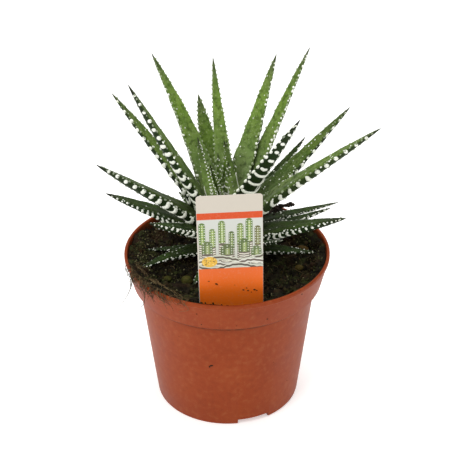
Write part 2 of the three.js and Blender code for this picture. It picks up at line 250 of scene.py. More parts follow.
# %% Leaf flesh material
def leaf_flesh():
    material, tree, skin = new_material("haworthia leaf flesh, waxy skin")
    read = {
        name: add(tree, "ShaderNodeAttribute", {"attribute_name": name}).outputs["Fac"]
        for name in ("along", "upper", "across", "age")
    }
    place = add(tree, "ShaderNodeTexCoord").outputs["Object"]
    # Cloudy patches about 12 mm across, soft blotches about 5 mm and hollows under 3 mm.
    clouds, blotches, hollows = (
        add(tree, "ShaderNodeTexNoise", links={"Vector": place}, Scale=scale, Detail=detail).outputs["Fac"]
        for scale, detail in ((85.0, 3.0), (210.0, 2.0), (380.0, 2.0))
    )
    # Lengthwise streaks under 1 mm wide, and pimples a little over 1 mm apart.
    streak_links = {"X": read["across"], "Y": read["along"], "Z": read["age"]}
    streak_place = add(tree, "ShaderNodeCombineXYZ", links=streak_links).outputs["Vector"]
    stretch_links = {0: streak_place, 1: (26.0, 2.5, 40.0)}
    stretched = add(tree, "ShaderNodeVectorMath", {"operation": "MULTIPLY"}, stretch_links)
    streak_links = {"Vector": stretched.outputs[0]}
    streaks = add(tree, "ShaderNodeTexNoise", links=streak_links, Scale=1.0, Detail=3.0).outputs["Fac"]
    pimples = add(tree, "ShaderNodeTexVoronoi", links={"Vector": place}, Scale=760.0).outputs["Distance"]
    # The old ramps carry painted shade besides the dark of age, deepest a little above the foot.
    young_upper, old_shaded_upper, young_lower, old_shaded_lower = (
        add(tree, "ShaderNodeValToRGB", {"stops": stops}, {"Fac": read["along"]}).outputs["Color"]
        for stops in LEAF_GREENS
    )
    age_links = {0: read["age"], 6: young_upper, 7: old_shaded_upper}
    plain_upper = add(tree, "ShaderNodeMix", COLOUR_MIX, age_links).outputs[2]
    upper = layered(
        tree, plain_upper, ((clouds, 0.35, 0.7, 0.2, 0x8E9C52), (streaks, 0.54, 0.74, 0.3, 0x93A364))
    )
    paler = add(tree, "ShaderNodeMix", COLOUR_MIX, {0: 0.6, 6: upper, 7: colour(0xB4BE90)}).outputs[2]
    upper = layered(tree, upper, ((pimples, 0.36, 0.12, 0.6, paler),))
    # Old leaves have much less of the clouds, streaks and pimples.
    upper = layered(
        tree, upper, ((read["age"], 0.3, 1.0, 0.6, plain_upper), (blotches, 0.48, 0.66, 0.38, 0x3C5A1C))
    )
    lower = layered(tree, young_lower, ((read["age"], 0.1, 0.32, 1.0, old_shaded_lower),))
    green = add(tree, "ShaderNodeMix", COLOUR_MIX, {0: read["upper"], 6: lower, 7: upper}).outputs[2]
    green = layered(tree, green, ((hollows, 0.48, 0.72, 0.6, 0x22300F),))
    waxy_ends = {0: clouds, 1: 0.3, 2: 0.7, 3: 0.42, 4: 0.6}
    waxy = add(tree, "ShaderNodeMapRange", links=waxy_ends).outputs[0]
    relief = add(tree, "ShaderNodeMath", {"operation": "SUBTRACT"}, {0: streaks, 1: pimples})
    bumps = add(tree, "ShaderNodeBump", links={"Height": relief.outputs[0]}, Strength=0.5, Distance=0.2 * MM)
    fill(
        tree,
        skin,
        {"Base Color": green, "Roughness": waxy, "Normal": bumps.outputs[0]},
        IOR=1.42,
        Specular_IOR_Level=0.08,
        Subsurface_Weight=0.1,
        Subsurface_Radius=(0.6, 1.0, 0.3),
        Subsurface_Scale=1.2 * MM,
    )
    return material


LEAF_FLESH = leaf_flesh()
print(LEAF_FLESH.name)

# %% [markdown]
# ## White tubercles
#
# The white bands are rows of small hard warts, dead corky tissue that is raised from the skin. They are
# chalk white in the sun and pick up a little green where they are thin. They could be white patches in
# the leaf's own material, but real ones stand out beyond the leaf's edge, so they are small solid shapes
# with a material to themselves, duller than the leaf and slightly rough.


# %% Tubercle material
def tubercle_cork():
    material, tree, cork = new_material("haworthia tubercle, chalky raised cork")
    along, age, green = (
        add(tree, "ShaderNodeAttribute", {"attribute_name": name}).outputs["Fac"]
        for name in ("along", "age", "green")
    )
    whites = ((0.0, 0xA9B594), (0.1, 0xD2D9C0), (0.2, 0xF0F3E4), (0.85, 0xF4F6EC), (1.0, 0xD2D5C0))
    greens = ((0.0, 0x6E853E), (0.6, 0x566B38), (1.0, 0x3C4E2C))
    chalk = add(tree, "ShaderNodeValToRGB", {"stops": whites}, {"Fac": along}).outputs["Color"]
    grown_over = add(tree, "ShaderNodeValToRGB", {"stops": greens}, {"Fac": age}).outputs["Color"]
    white = add(tree, "ShaderNodeMix", COLOUR_MIX, {0: green, 6: chalk, 7: grown_over}).outputs[2]
    white = layered(tree, white, ((age, 0.0, 1.0, 0.05, 0xA9B49C),))
    place = add(tree, "ShaderNodeTexCoord").outputs["Object"]
    grit = add(tree, "ShaderNodeTexNoise", links={"Vector": place}, Scale=2500.0, Detail=2.0).outputs["Fac"]
    bumps = add(tree, "ShaderNodeBump", links={"Height": grit}, Strength=0.3, Distance=0.05 * MM)
    sources = {"Base Color": white, "Normal": bumps.outputs[0]}
    fill(tree, cork, sources, Roughness=0.55, Specular_IOR_Level=0.4)
    return material


TUBERCLE_CORK = tubercle_cork()
print(TUBERCLE_CORK.name)

# %% [markdown]
# ## Reading a leaf from its solid
#
# Each solid leaf is a skin over rings of ten points, closed by one point at the foot and one at the
# tip. The finished leaf has to stand exactly where the solid does, so it isn't drawn anew: its line is
# read back. Walking from the tip, edge by edge, gives the rings in order. In each ring the two points
# farthest apart are the margins, and the point deepest below them is the keel of the back.

# %% Leaf rings
CROWN_PLACE = (1.0, 5.0)
CROWN_MIDDLE = np.array((*CROWN_PLACE, 108.0)) * MM
POINTS_IN_RING = 10
LEAF_STATIONS = np.array((0, 0.06, 0.14, 0.24, 0.36, 0.5, 0.64, 0.77, 0.88, 0.95))
TIP_TAPER_POWER = 0.75
FULL_WIDTH_STATION = 5
SAME_POINT = 0.002 * MM
LINE_DEPTH = 0.36


def merged_copy(node):
    """The solid's points and each point's neighbours, with its loose triangles joined up."""
    walker = bmesh.new()
    walker.from_mesh(node.data)
    bmesh.ops.remove_doubles(walker, verts=walker.verts, dist=SAME_POINT)
    walker.verts.ensure_lookup_table()
    points = np.array([v.co[:] for v in walker.verts])
    neighbours = [[e.other_vert(v).index for e in v.link_edges] for v in walker.verts]
    walker.free()
    return points, neighbours


def leaf_rings(node):
    """Rings of points from the foot to the tip, then the tip point."""
    points, neighbours = merged_copy(node)
    poles = [i for i, near in enumerate(neighbours) if len(near) == POINTS_IN_RING]
    tip = max(poles, key=lambda i: np.linalg.norm(points[i] - CROWN_MIDDLE))
    seen, edge, rings = {tip}, [tip], []
    while True:
        edge = sorted({j for i in edge for j in neighbours[i]} - seen)
        if not edge:
            break
        seen.update(edge)
        rings.append(points[edge])
    if len(rings[-1]) == 1:
        rings.pop()
    return rings[::-1], points[tip]


def leaf_line(node):
    """Where the rings sit along a leaf, its middle line, across and inward directions, and full width."""
    rings, tip = leaf_rings(node)
    middles, acrosses, inwards, widths = [], [], [], []
    for ring in rings:
        gaps = np.linalg.norm(ring[:, None] - ring[None], axis=2)
        first, second = np.unravel_index(np.argmax(gaps), gaps.shape)
        middle = (ring[first] + ring[second]) / 2
        across = (ring[first] - ring[second]) / gaps[first, second]
        below = ring - middle - np.outer((ring - middle) @ across, across)
        keel = below[np.argmax(np.linalg.norm(below, axis=1))]
        acrosses.append(across)
        inwards.append(-keel / np.linalg.norm(keel))
        widths.append(gaps[first, second])
        middles.append(middle + keel * LINE_DEPTH)
    forward = tip - middles[-1]
    for i in range(len(acrosses)):
        if np.cross(acrosses[i], forward) @ inwards[i] < 0:
            acrosses[i] = -acrosses[i]
    along = LEAF_STATIONS[len(LEAF_STATIONS) - len(rings):]
    full_width = widths[FULL_WIDTH_STATION] / (1 - along[FULL_WIDTH_STATION]) ** TIP_TAPER_POWER
    line = np.vstack((middles, tip))
    return np.append(along, 1.0), line, np.array(acrosses), np.array(inwards), full_width


trial = leaf_line(nodes["middle_leaf_1"])
print("middle_leaf_1:", len(trial[1]), "stations, full width", round(trial[4] / MM, 1), "mm")

# %% [markdown]
# ## Growing the leaf's skin
#
# The skin is swept along a smooth curve through those stations. Subdividing the solid would be quicker,
# but would keep its ten flat sides; a formula gives the real cross section. The upper face is nearly
# flat with a shallow channel, and the back is deeply rounded with a keel towards the tip. At the foot
# the margins rise, so that the leaf clasps the crown. A slow random sway keeps two leaves from being
# twins.

# %% Leaf skin
LEAF_SLICES = 60
LEAF_AROUND = 40
FOOT_REACH = 5 * MM
# The cross section: depths are shares of the thickness, half widths shares of the leaf's width, and the
# thickness itself and the clasp's rise are shares of that width too.
FOOT_THICKNESS, TIP_THICKNESS = 0.4, 0.6
EDGE_LEVEL, UPPER_RISE, BACK_DEPTH = 0.3, 0.16, 0.9
CHANNEL_DEPTH, CHANNEL_HALF = 0.13, 0.2
KEEL_DEPTH, KEEL_HALF = 0.1, 0.13
CLASP_RISE, CLASP_REACH = 0.3, 0.09


def smooth_curve(knots, values, where):
    """A smooth cubic curve through values at knots, read at many places."""
    slopes = np.gradient(values, knots, axis=0)
    result = []
    for place in where:
        i = int(np.clip(np.searchsorted(knots, place) - 1, 0, len(knots) - 2))
        span = knots[i + 1] - knots[i]
        t = (place - knots[i]) / span
        result.append(
            values[i] * (1 + 2 * t) * (1 - t) ** 2
            + slopes[i] * span * t * (1 - t) ** 2
            + values[i + 1] * t * t * (3 - 2 * t)
            + slopes[i + 1] * span * t * t * (t - 1)
        )
    return np.array(result)


class Leaf:
    """One leaf's smooth line and the surface round it, in metres."""

    def __init__(self, name, seed):
        knots, line, acrosses, inwards, self.width = leaf_line(nodes[name])
        self.name = name
        self.rng = random.Random(seed)
        self.length = float(np.linalg.norm(np.diff(line, axis=0), axis=1).sum())
        foot_way = unit(line[1] - line[0])
        reach = FOOT_REACH / self.length
        knots = np.concatenate(((-reach,), knots))
        line = np.vstack((line[0] - foot_way * FOOT_REACH, line))
        acrosses = np.vstack((acrosses[:1], acrosses, acrosses[-1:]))
        inwards = np.vstack((inwards[:1], inwards, inwards[-1:]))
        self.first = -reach
        self.knots, self.line, self.acrosses, self.inwards = knots, line, acrosses, inwards
        self.phase = [self.rng.uniform(0, math.tau) for _ in range(4)]
        self.sway = self.rng.uniform(0.25, 0.6) * MM

    def frame_at(self, where):
        """Middle, across and inward at places along the leaf."""
        where = np.atleast_1d(np.asarray(where, dtype=float))
        middle = smooth_curve(self.knots, self.line, where)
        across = unit(smooth_curve(self.knots, self.acrosses, where))
        inward = unit(smooth_curve(self.knots, self.inwards, where))
        wander = self.sway * np.sin(where * 6.5 + self.phase[0]) * np.clip(where, 0, 1) ** 0.5
        middle = middle + across * wander[:, None] * (1 - np.clip(where, 0, 1))[:, None] ** 0.3
        return middle, across, inward

    def width_at(self, where):
        """The width at places along the leaf: a taper, a narrowed foot and a slight ripple."""
        where = np.asarray(where, dtype=float)
        taper = np.clip(1 - where, 0.0004, 1.3) ** TIP_TAPER_POWER
        foot = 1 - 0.34 * np.exp(-((where + 0.04) / 0.09) ** 2)
        ripple = 1 + 0.025 * np.sin(where * 31 + self.phase[1]) + 0.02 * np.sin(where * 57 + self.phase[2])
        return self.width * taper * foot * ripple

    def surface(self, where, turn):
        """Points of the skin: where runs along, turn runs round from 0 at one margin over the upper face."""
        where, turn = np.broadcast_arrays(np.asarray(where, float), np.asarray(turn, float))
        shape = where.shape
        middle, across, inward = self.frame_at(where.ravel())
        turn = turn.ravel()
        flat = where.ravel()
        width = self.width_at(flat)
        outward_share = np.clip(flat, 0, 1)
        thick = width * (FOOT_THICKNESS + (TIP_THICKNESS - FOOT_THICKNESS) * outward_share)
        x = 0.5 * np.cos(turn)
        bulge = np.abs(np.sin(turn))
        channel = CHANNEL_DEPTH * np.exp(-((x / CHANNEL_HALF) ** 2)) * np.clip(1.15 - flat, 0, 1)
        keel = KEEL_DEPTH * outward_share * np.exp(-((x / KEEL_HALF) ** 2))
        high = UPPER_RISE * bulge**0.8 - channel
        low = -(BACK_DEPTH * bulge**0.86 + keel)
        level = np.where(np.sin(turn) >= 0, high, low) + EDGE_LEVEL
        clasp = CLASP_RISE * np.exp(-np.clip(flat + 0.05, 0, 2) / CLASP_REACH) * (2 * x) ** 2
        depth = level * thick + clasp * width
        point = middle + across * (x * width)[:, None] + inward * depth[:, None]
        return point.reshape(shape + (3,))

    def normal(self, where, turn):
        """The outward direction of the skin, from two short steps on it."""
        lengthwise = self.surface(where + 0.004, turn) - self.surface(where - 0.004, turn)
        round_it = self.surface(where, turn + 0.05) - self.surface(where, turn - 0.05)
        out = unit(np.cross(round_it, lengthwise))
        middle = self.frame_at(np.ravel(where))[0]
        away = self.surface(where, turn) - middle.reshape(out.shape)
        return np.where((out * away).sum(-1, keepdims=True) < 0, -out, out)


def leaf_slices(leaf):
    """Places along a leaf, closer together towards the tip."""
    t = np.linspace(0, 1, LEAF_SLICES)
    return leaf.first + (0.997 - leaf.first) * (1 - (1 - t) ** 1.25)


def leaf_skin(leaf, age):
    """The leaf's closed skin as points, faces and the values that its material reads."""
    places = leaf_slices(leaf)
    turns = np.arange(LEAF_AROUND) / LEAF_AROUND * math.tau
    grid = leaf.surface(places[:, None], turns[None, :])
    points = list(grid.reshape(-1, 3))
    tip = leaf.frame_at(1.0)[0][0]
    foot = leaf.frame_at(leaf.first)[0][0]
    count = len(points)
    points += [tip, foot]
    faces = []
    for i in range(LEAF_SLICES - 1):
        for k in range(LEAF_AROUND):
            n = (k + 1) % LEAF_AROUND
            low, high = i * LEAF_AROUND, (i + 1) * LEAF_AROUND
            faces.append((low + k, low + n, high + n, high + k))
    last = (LEAF_SLICES - 1) * LEAF_AROUND
    for k in range(LEAF_AROUND):
        n = (k + 1) % LEAF_AROUND
        faces.append((last + k, last + n, count))
        faces.append((n, k, count + 1))
    along = np.repeat(places, LEAF_AROUND)
    facing = np.tile(np.clip(np.sin(turns) * 3 + 0.5, 0, 1), LEAF_SLICES)
    across = np.tile(np.cos(turns) * 0.5 + 0.5, LEAF_SLICES)
    values = {
        "along": np.append(along, (1.0, leaf.first)),
        "upper": np.append(facing, (0.5, 0.5)),
        "across": np.append(across, (0.5, 0.5)),
        "age": np.full(count + 2, age),
    }
    return points, faces, values


trial_leaf = Leaf("middle_leaf_1", 1)
trial_faces = leaf_skin(trial_leaf, 0.2)[1]
print("skin of middle_leaf_1:", len(trial_faces), "faces, length", round(trial_leaf.length / MM), "mm")

# %% [markdown]
# ## Where the tubercles sit
#
# On each half of the back they stand in one row. Near the foot each is a thick bar bent like a crescent,
# with its horns towards the tip; further out the bars shorten to blobs that move up to the leaf's margin.
# On the youngest leaves the two halves share one bar. The keel has a pale line at its foot and small dots
# further out, both margins carry teeth, and dots are strewn over the upper face. A random scatter would
# lose these rows, so a plain function walks along the leaf for each kind and chooses the places. Its
# random generator has a seed for each leaf, so that every run is the same. A leaf's look says how old it
# is, which also darkens it and on some leaves stands for painted shade, how bold it is, what its teeth are
# like, how many of them are white, how many dots each millimetre of its length has, whether the halves
# share their bars, and how far apart the bars are, where 1 is about 5 mm.


# %% Tubercle places
Look = collections.namedtuple("Look", "age bold teeth white_teeth dots joined step", defaults=(1.0,))
KEEL = math.pi * 1.5
WIDTH_PER_RADIAN = 0.47


def back_row(leaf, where, centre, reach, half_along, bow, thinning=0.3):
    """One bar of balls round the back at a place, from centre - reach to centre + reach, in radians."""
    rng = leaf.rng
    per_radian = WIDTH_PER_RADIAN * float(leaf.width_at(where)) / MM
    count = max(1, int(round(2 * reach * per_radian / (half_along * 0.85))))
    row = []
    for k in range(count):
        share = (k + 0.5) / count * 2 - 1
        turn = centre + share * reach
        thick = half_along * (1.05 - thinning * share**2) * rng.uniform(0.95, 1.05)
        shift = bow * share**2 * MM / leaf.length
        half_across = max(thick, reach * per_radian / count * 1.3)
        row.append((where + shift, turn, half_across, thick, 0.5 * half_along, 0.0))
    return row


# How a bar changes from the foot, 0, to the tip, 1: its middle's angle from the keel and its reach on
# each side of that, in radians, and half its height along the leaf and the bend of its horns, in mm.
BAR_CENTRE = ((0, 0.3, 0.5, 0.75, 1), (0.86, 0.92, 1.12, 1.34, 1.4))
BAR_REACH = ((0, 0.35, 0.55, 0.75, 1), (0.6, 0.52, 0.26, 0.12, 0.08))
BAR_HALF = ((0, 0.3, 0.5, 0.7, 0.9, 1), (0.8, 0.84, 1.0, 0.95, 0.68, 0.4))
BAR_BOW = ((0, 0.35, 0.55), (2.1, 1.8, 0.4))
JOINED_CENTRE = 0.7
JOINED_UP_TO = 0.48


def bars_on_back(leaf, look, scale):
    """The rows on both halves of the back."""
    rng = leaf.rng
    spots = []
    for side in (-1, 1):
        where = 0.05 if side < 0 or look.joined else 0.05 + 2.6 * MM / leaf.length
        while where < 0.95:
            size = scale * rng.uniform(0.88, 1.12)
            wander = rng.uniform(-0.08, 0.08)
            if look.joined and where < JOINED_UP_TO:
                if side < 0:
                    spots += back_row(leaf, where, KEEL + wander * 0.4, 1.3, 0.92 * size, 0.9, 0.12)
            else:
                centre = JOINED_CENTRE if look.joined else float(np.interp(where, *BAR_CENTRE))
                half = float(np.interp(where, *BAR_HALF))
                bow = float(np.interp(where, *BAR_BOW)) * rng.uniform(0.7, 1.3)
                reach = float(np.interp(where, *BAR_REACH))
                reach *= rng.uniform(0.85, 1.2) * min(1.0, look.bold / 0.75) ** 3
                spots += back_row(leaf, where, KEEL + side * (centre + wander), reach, half * size, bow)
                if where < 0.42 and rng.random() < 0.5:
                    between = where + 2.4 * MM / leaf.length
                    spots += back_row(leaf, between, KEEL + side * 1.4, 0.06, 0.5 * size, 0)
            where += rng.uniform(4.7, 5.5) * look.step * scale**0.4 * MM / leaf.length
    return spots


def keel_line(leaf, scale):
    rng = leaf.rng
    spots = []
    where = 0.03
    while where < 0.92:
        if where < 0.42:
            spots.append((where, KEEL, 0.36, 0.95, 0.35, 0.2))
            where += 1.1 * MM / leaf.length
        else:
            grow = rng.uniform(0.45, 0.7) * scale
            spots.append((where, KEEL + rng.uniform(-0.1, 0.1), grow * 0.8, grow, grow * 0.8, 0.15))
            where += rng.uniform(3.6, 5.2) * MM / leaf.length
    return spots


# Each kind of tooth has its least and most spacing, and its least and most size, in mm.
TOOTH_STEP = {"fine": (2.2, 3.2), "few": (2.6, 4.4), "bold": (4.4, 5.2), "beads": (2.1, 2.7)}
TOOTH_SIZE = {"fine": (0.6, 0.95), "few": (0.45, 0.75), "bold": (0.95, 1.2), "beads": (0.5, 0.75)}


def margin_teeth(leaf, look, scale):
    """Teeth on both margins; near the foot more of them are white."""
    rng = leaf.rng
    spots = []
    for side in (0.0, math.pi):
        where = 0.05 + rng.uniform(0, 0.02)
        while where < 0.96:
            grow = rng.uniform(*TOOTH_SIZE[look.teeth]) * (1.15 - 0.45 * where) * scale**0.5
            below_edge = -0.04 if side == 0.0 else 0.04
            turn = side + below_edge + rng.uniform(-0.08, 0.08)
            white = rng.random() < look.white_teeth * (1.5 - where)
            spots.append((where, turn, grow * 0.75, grow * 1.15, grow * 1.25, 0.0 if white else 0.8))
            where += rng.uniform(*TOOTH_STEP[look.teeth]) * MM / leaf.length
    return spots


def tubercle_places(leaf, look):
    """Rows of (along, turn, half across, half along, height, green) in mm for one leaf."""
    rng = leaf.rng
    scale = (leaf.width / MM / 16) ** 0.5 * look.bold
    spots = bars_on_back(leaf, look, scale) + keel_line(leaf, scale) + margin_teeth(leaf, look, scale)
    for _ in range(int(leaf.length / MM * look.dots)):
        side = rng.choice((-1, 1))
        turn = math.pi / 2 + side * rng.uniform(0.2, 1.35)
        grow = rng.uniform(0.3, 0.62)
        where = 0.06 + 0.84 * rng.random() ** 1.5
        spots.append((where, turn, grow * 0.85, grow, grow * 0.5, rng.choice((0.0, 0.2, 0.6))))
    return spots


trial_look = Look(0.2, 1.0, "fine", 0.3, 0.1, False)
print("middle_leaf_1 carries", len(tubercle_places(trial_leaf, trial_look)), "tubercles")

# %% [markdown]
# ## Growing the tubercles with a node tree
#
# A geometry-nodes tree puts one small flattened ball on each chosen point. Particles could do so too,
# but the export drops them. Every point carries its own turn and its own three half lengths, so one tree
# serves all the leaves. Balls that touch melt into a bar to the eye. The tree ends by making the copies
# real and giving them their material. Two helpers open and close a tree, and a third runs one on a guide
# object. A modifier's inputs go by an identifier that Blender makes up, so the first helper keeps those.


# %% Node tree helpers
def open_tree(name, inputs):
    """A geometry tree, its input node and its inputs' identifiers; inputs are (title, kind) pairs."""
    tree = bpy.data.node_groups.new(name, "GeometryNodeTree")
    identifiers = {}
    for title, kind in (*inputs, ("Finish", "Material")):
        socket = tree.interface.new_socket(title, in_out="INPUT", socket_type="NodeSocket" + kind)
        identifiers[title] = socket.identifier
    tree.interface.new_socket("Result", in_out="OUTPUT", socket_type="NodeSocketGeometry")
    return tree, add(tree, "NodeGroupInput"), identifiers


def close_tree(tree, start, geometry):
    """Gives the real geometry its finish and sends it out."""
    paint_links = {"Geometry": geometry, "Material": start.outputs["Finish"]}
    painted = add(tree, "GeometryNodeSetMaterial", links=paint_links)
    add(tree, "NodeGroupOutput", links={"Result": painted.outputs[0]})


def grown_mesh(guide, growth, values):
    """The mesh that a growth, a tree with its identifiers, makes of a guide object that is thrown away."""
    tree, identifiers = growth
    modifier = guide.modifiers.new("growth", "NODES")
    modifier.node_group = tree
    for title, value in values.items():
        modifier[identifiers[title]] = value
    ready = guide.evaluated_get(bpy.context.evaluated_depsgraph_get())
    mesh = bpy.data.meshes.new_from_object(ready)
    guide.modifiers.remove(modifier)
    bpy.data.objects.remove(guide)
    return mesh


# %% Tubercle tree
def tubercle_tree():
    inputs = (("Points", "Geometry"), ("Ball sides", "Int"), ("Ball rings", "Int"))
    tree, start, identifiers = open_tree("tubercles", inputs)
    turn = add(tree, "GeometryNodeInputNamedAttribute", {"data_type": "FLOAT_VECTOR"}, Name="ball_turn")
    size = add(tree, "GeometryNodeInputNamedAttribute", {"data_type": "FLOAT_VECTOR"}, Name="ball_size")
    ball = add(
        tree,
        "GeometryNodeMeshUVSphere",
        links={"Segments": start.outputs["Ball sides"], "Rings": start.outputs["Ball rings"]},
        Radius=1.0,
    )
    place = add(
        tree,
        "GeometryNodeInstanceOnPoints",
        links={
            "Points": start.outputs["Points"],
            "Instance": ball.outputs["Mesh"],
            "Rotation": turn.outputs[0],
            "Scale": size.outputs[0],
        },
    )
    real = add(tree, "GeometryNodeRealizeInstances", links={"Geometry": place.outputs[0]})
    smooth = add(tree, "GeometryNodeSetShadeSmooth", links={"Geometry": real.outputs[0]})
    close_tree(tree, start, smooth.outputs[0])
    return tree, identifiers


TUBERCLES = tubercle_tree()


def standing_turn(outward, ahead):
    """The turn that points a ball's own Z outward and its own Y ahead."""
    z = Vector(outward).normalized()
    y = (Vector(ahead) - z * z.dot(Vector(ahead))).normalized()
    return Matrix((y.cross(z), y, z)).transposed().to_euler()[:]


def tubercle_mesh(leaf, look):
    """All the tubercles of one leaf as one mesh."""
    spots = np.array(tubercle_places(leaf, look))
    centres = leaf.surface(spots[:, 0], spots[:, 1])
    normals = leaf.normal(spots[:, 0], spots[:, 1])
    outward = leaf.frame_at(spots[:, 0])[1] * np.sign(np.cos(spots[:, 1]))[:, None]
    at_margin = (np.abs(np.sin(spots[:, 1])) < 0.2)[:, None]
    normals = unit(np.where(at_margin, outward + 0.35 * normals, normals))
    ahead = unit(leaf.surface(spots[:, 0] + 0.01, spots[:, 1]) - centres)
    turns = [standing_turn(normal, forward) for normal, forward in zip(normals, ahead)]
    guide = mesh_object(leaf.name + "_points", centres, [])
    set_attribute(guide.data, "ball_turn", turns, "FLOAT_VECTOR")
    set_attribute(guide.data, "ball_size", spots[:, 2:5] * MM, "FLOAT_VECTOR")
    set_attribute(guide.data, "along", spots[:, 0])
    set_attribute(guide.data, "green", spots[:, 5])
    set_attribute(guide.data, "age", np.full(len(spots), look.age))
    return grown_mesh(guide, TUBERCLES, {"Ball sides": 8, "Ball rings": 4, "Finish": TUBERCLE_CORK})


print(len(tubercle_mesh(trial_leaf, trial_look).polygons), "faces of tubercles on middle_leaf_1")

# %% [markdown]
# ## The pot's sizes
#
# Its plastic and its body both need these, because dirt with painted shade lies inside the rim and a
# painted shadow under the collar. The solid has the same sizes. Reading them back from its mesh would
# hide what each number is.

# %% Pot sizes, in millimetres
POT_HEIGHT = 95.5
RIM_RADIUS = 60.0
COLLAR_FOOT = 76.9
COLLAR_RADIUS = 55.4
COLLAR_TOP_RADIUS = RIM_RADIUS - 0.6
LIP_FOOT = 93.3
LIP_INSIDE_FOOT = 92.9
LIP_WALL = 2.0
COLLAR_INSIDE_FOOT = 77.5
WALL_TOP_RADIUS = 52.0
WALL_FOOT_RADIUS = 42.6
WALL = 1.3
FLOOR_TOP = 5.1
FOOT_DEPTH = 3.8


def wall_radius(height):
    """The outer radius of the tapered side below the collar."""
    return WALL_FOOT_RADIUS + (WALL_TOP_RADIUS - WALL_FOOT_RADIUS) * height / COLLAR_FOOT


def collar_radius(height):
    """The outer radius of the collar below the lip."""
    share = (height - COLLAR_FOOT) / (LIP_INSIDE_FOOT - COLLAR_FOOT)
    return COLLAR_RADIUS + (COLLAR_TOP_RADIUS - COLLAR_RADIUS) * share


def collar_inside_radius(height):
    share = (height - COLLAR_INSIDE_FOOT) / (LIP_INSIDE_FOOT - COLLAR_INSIDE_FOOT)
    return COLLAR_RADIUS - WALL + (RIM_RADIUS - LIP_WALL - COLLAR_RADIUS + WALL) * share


print("wall", wall_radius(0), "mm at the foot; collar", collar_radius(85), "mm half way up")

# %% [markdown]
# ## The pot's plastic
#
# The pot is moulded polypropylene, coloured right through with a terracotta pigment. Such pots have a
# smooth but not polished surface, so reflections are broad. The pigment is a little uneven, and the
# outside is dusty. A plain colour would look like a toy's, so the patterns are layered over it, in
# millimetres on the piece itself: clouds about 25 mm wide, scuffs about 3 mm wide, faint upright draw
# lines from the mould about 1 mm wide, and dust finer than that. Dirt from the soil with painted shade
# inside the wall, and a painted shadow line under the collar, are one more layer, placed by the height
# and depth of each point of the wall.


# %% Pot material
def moulded_polypropylene():
    material, tree, plastic = new_material("moulded polypropylene, terracotta, semi-matte")
    place = add(tree, "ShaderNodeTexCoord").outputs["Object"]
    clouds, scuffs, dust = (
        add(tree, "ShaderNodeTexNoise", links={"Vector": place}, Scale=scale, Detail=detail).outputs["Fac"]
        for scale, detail in ((40.0, 3.0), (300.0, 6.0), (1400.0, 2.0))
    )
    drawn_links = {0: place, 1: (900.0, 900.0, 18.0)}
    drawn = add(tree, "ShaderNodeVectorMath", {"operation": "MULTIPLY"}, drawn_links)
    line_links = {"Vector": drawn.outputs[0]}
    lines = add(tree, "ShaderNodeTexNoise", links=line_links, Scale=1.0, Detail=2.0).outputs["Fac"]
    pigments = ((0.3, 0x883714), (0.5, 0x8C3A17), (0.72, 0x91401C))
    shade = layered(
        tree,
        add(tree, "ShaderNodeValToRGB", {"stops": pigments}, {"Fac": clouds}).outputs["Color"],
        (
            (lines, 0.45, 0.75, 0.12, 0x702B10),
            (dust, 0.6, 0.78, 0.25, 0xA4683F),
            (scuffs, 0.52, 0.72, 0.22, 0xA8663E),
            (scuffs, 0.46, 0.3, 0.25, 0x6E2C12),
        ),
    )
    flat_links = {0: place, 1: (1.0, 1.0, 0.0)}
    flat_place = add(tree, "ShaderNodeVectorMath", {"operation": "MULTIPLY"}, flat_links)
    from_axis = add(tree, "ShaderNodeVectorMath", {"operation": "LENGTH"}, {0: flat_place.outputs[0]})
    height = add(tree, "ShaderNodeSeparateXYZ", links={0: place}).outputs["Z"]
    wall_ends = (COLLAR_FOOT * MM, POT_HEIGHT * MM, COLLAR_RADIUS * MM, RIM_RADIUS * MM)
    outer_wall = add(tree, "ShaderNodeMapRange", links=dict(enumerate((height, *wall_ends))))
    depth_links = {0: outer_wall.outputs[0], 1: from_axis.outputs["Value"]}
    depth = add(tree, "ShaderNodeMath", {"operation": "SUBTRACT"}, depth_links).outputs[0]
    soiled_and_shaded_inside, below_lip, above_step, patchy, shadow_above_line, shadow_below_line, uneven, satin = (
        add(tree, "ShaderNodeMapRange", links=dict(enumerate(ends))).outputs[0]
        for ends in (
            (depth, 0.9 * MM, 1.2 * MM, 0.0, 1.0),
            (height, 95 * MM, 92 * MM, 0.1, 1.0),
            (height, 77.6 * MM, 78 * MM, 0.0, 1.0),
            (dust, 0.3, 0.6, 0.55, 0.95),
            (height, 73.2 * MM, 74.4 * MM, 0.0, 1.0),
            (height, 77.6 * MM, 77.1 * MM, 0.0, 1.0),
            (scuffs, 0.4, 0.6, 0.3, 0.8),
            (clouds, 0.3, 0.7, 0.4, 0.52),
        )
    )
    # Damp soil has dirtied the inside of the wall, up to just under the lip, and this dark is also painted
    # shade for the deep inside of the pot. Under the collar and along its edge a painted shadow line falls,
    # heavier in some places.
    for dirt, factors, ink in (
        (soiled_and_shaded_inside, (below_lip, above_step, patchy), 0x2C2116),
        # The second layer is a painted shadow line under the collar, patchy where the scuffs are.
        (shadow_above_line, (shadow_below_line, uneven), 0x40200F),
    ):
        for factor in factors:
            dirt = add(tree, "ShaderNodeMath", {"operation": "MULTIPLY"}, {0: dirt, 1: factor}).outputs[0]
        shade = add(tree, "ShaderNodeMix", COLOUR_MIX, {0: dirt, 6: shade, 7: colour(ink)}).outputs[2]
    bumps = add(tree, "ShaderNodeBump", links={"Height": lines}, Strength=0.12, Distance=0.08 * MM)
    sources = {"Base Color": shade, "Roughness": satin, "Normal": bumps.outputs[0]}
    fill(tree, plastic, sources, IOR=1.49, Specular_IOR_Level=0.1)
    return material


POLYPROPYLENE = moulded_polypropylene()
print(POLYPROPYLENE.name)

# %% [markdown]
# ## The pot's body
#
# A thin wall is turned round the upright axis from a profile: foot ring, tapered side, the step where the
# collar starts, the lip, and back down the inside. A Screw modifier could turn it; rings of points worked
# out here close the two ends without doubled points. The corners of the profile are rounded first,
# because moulded plastic has no sharp edges and the roundings catch the light.

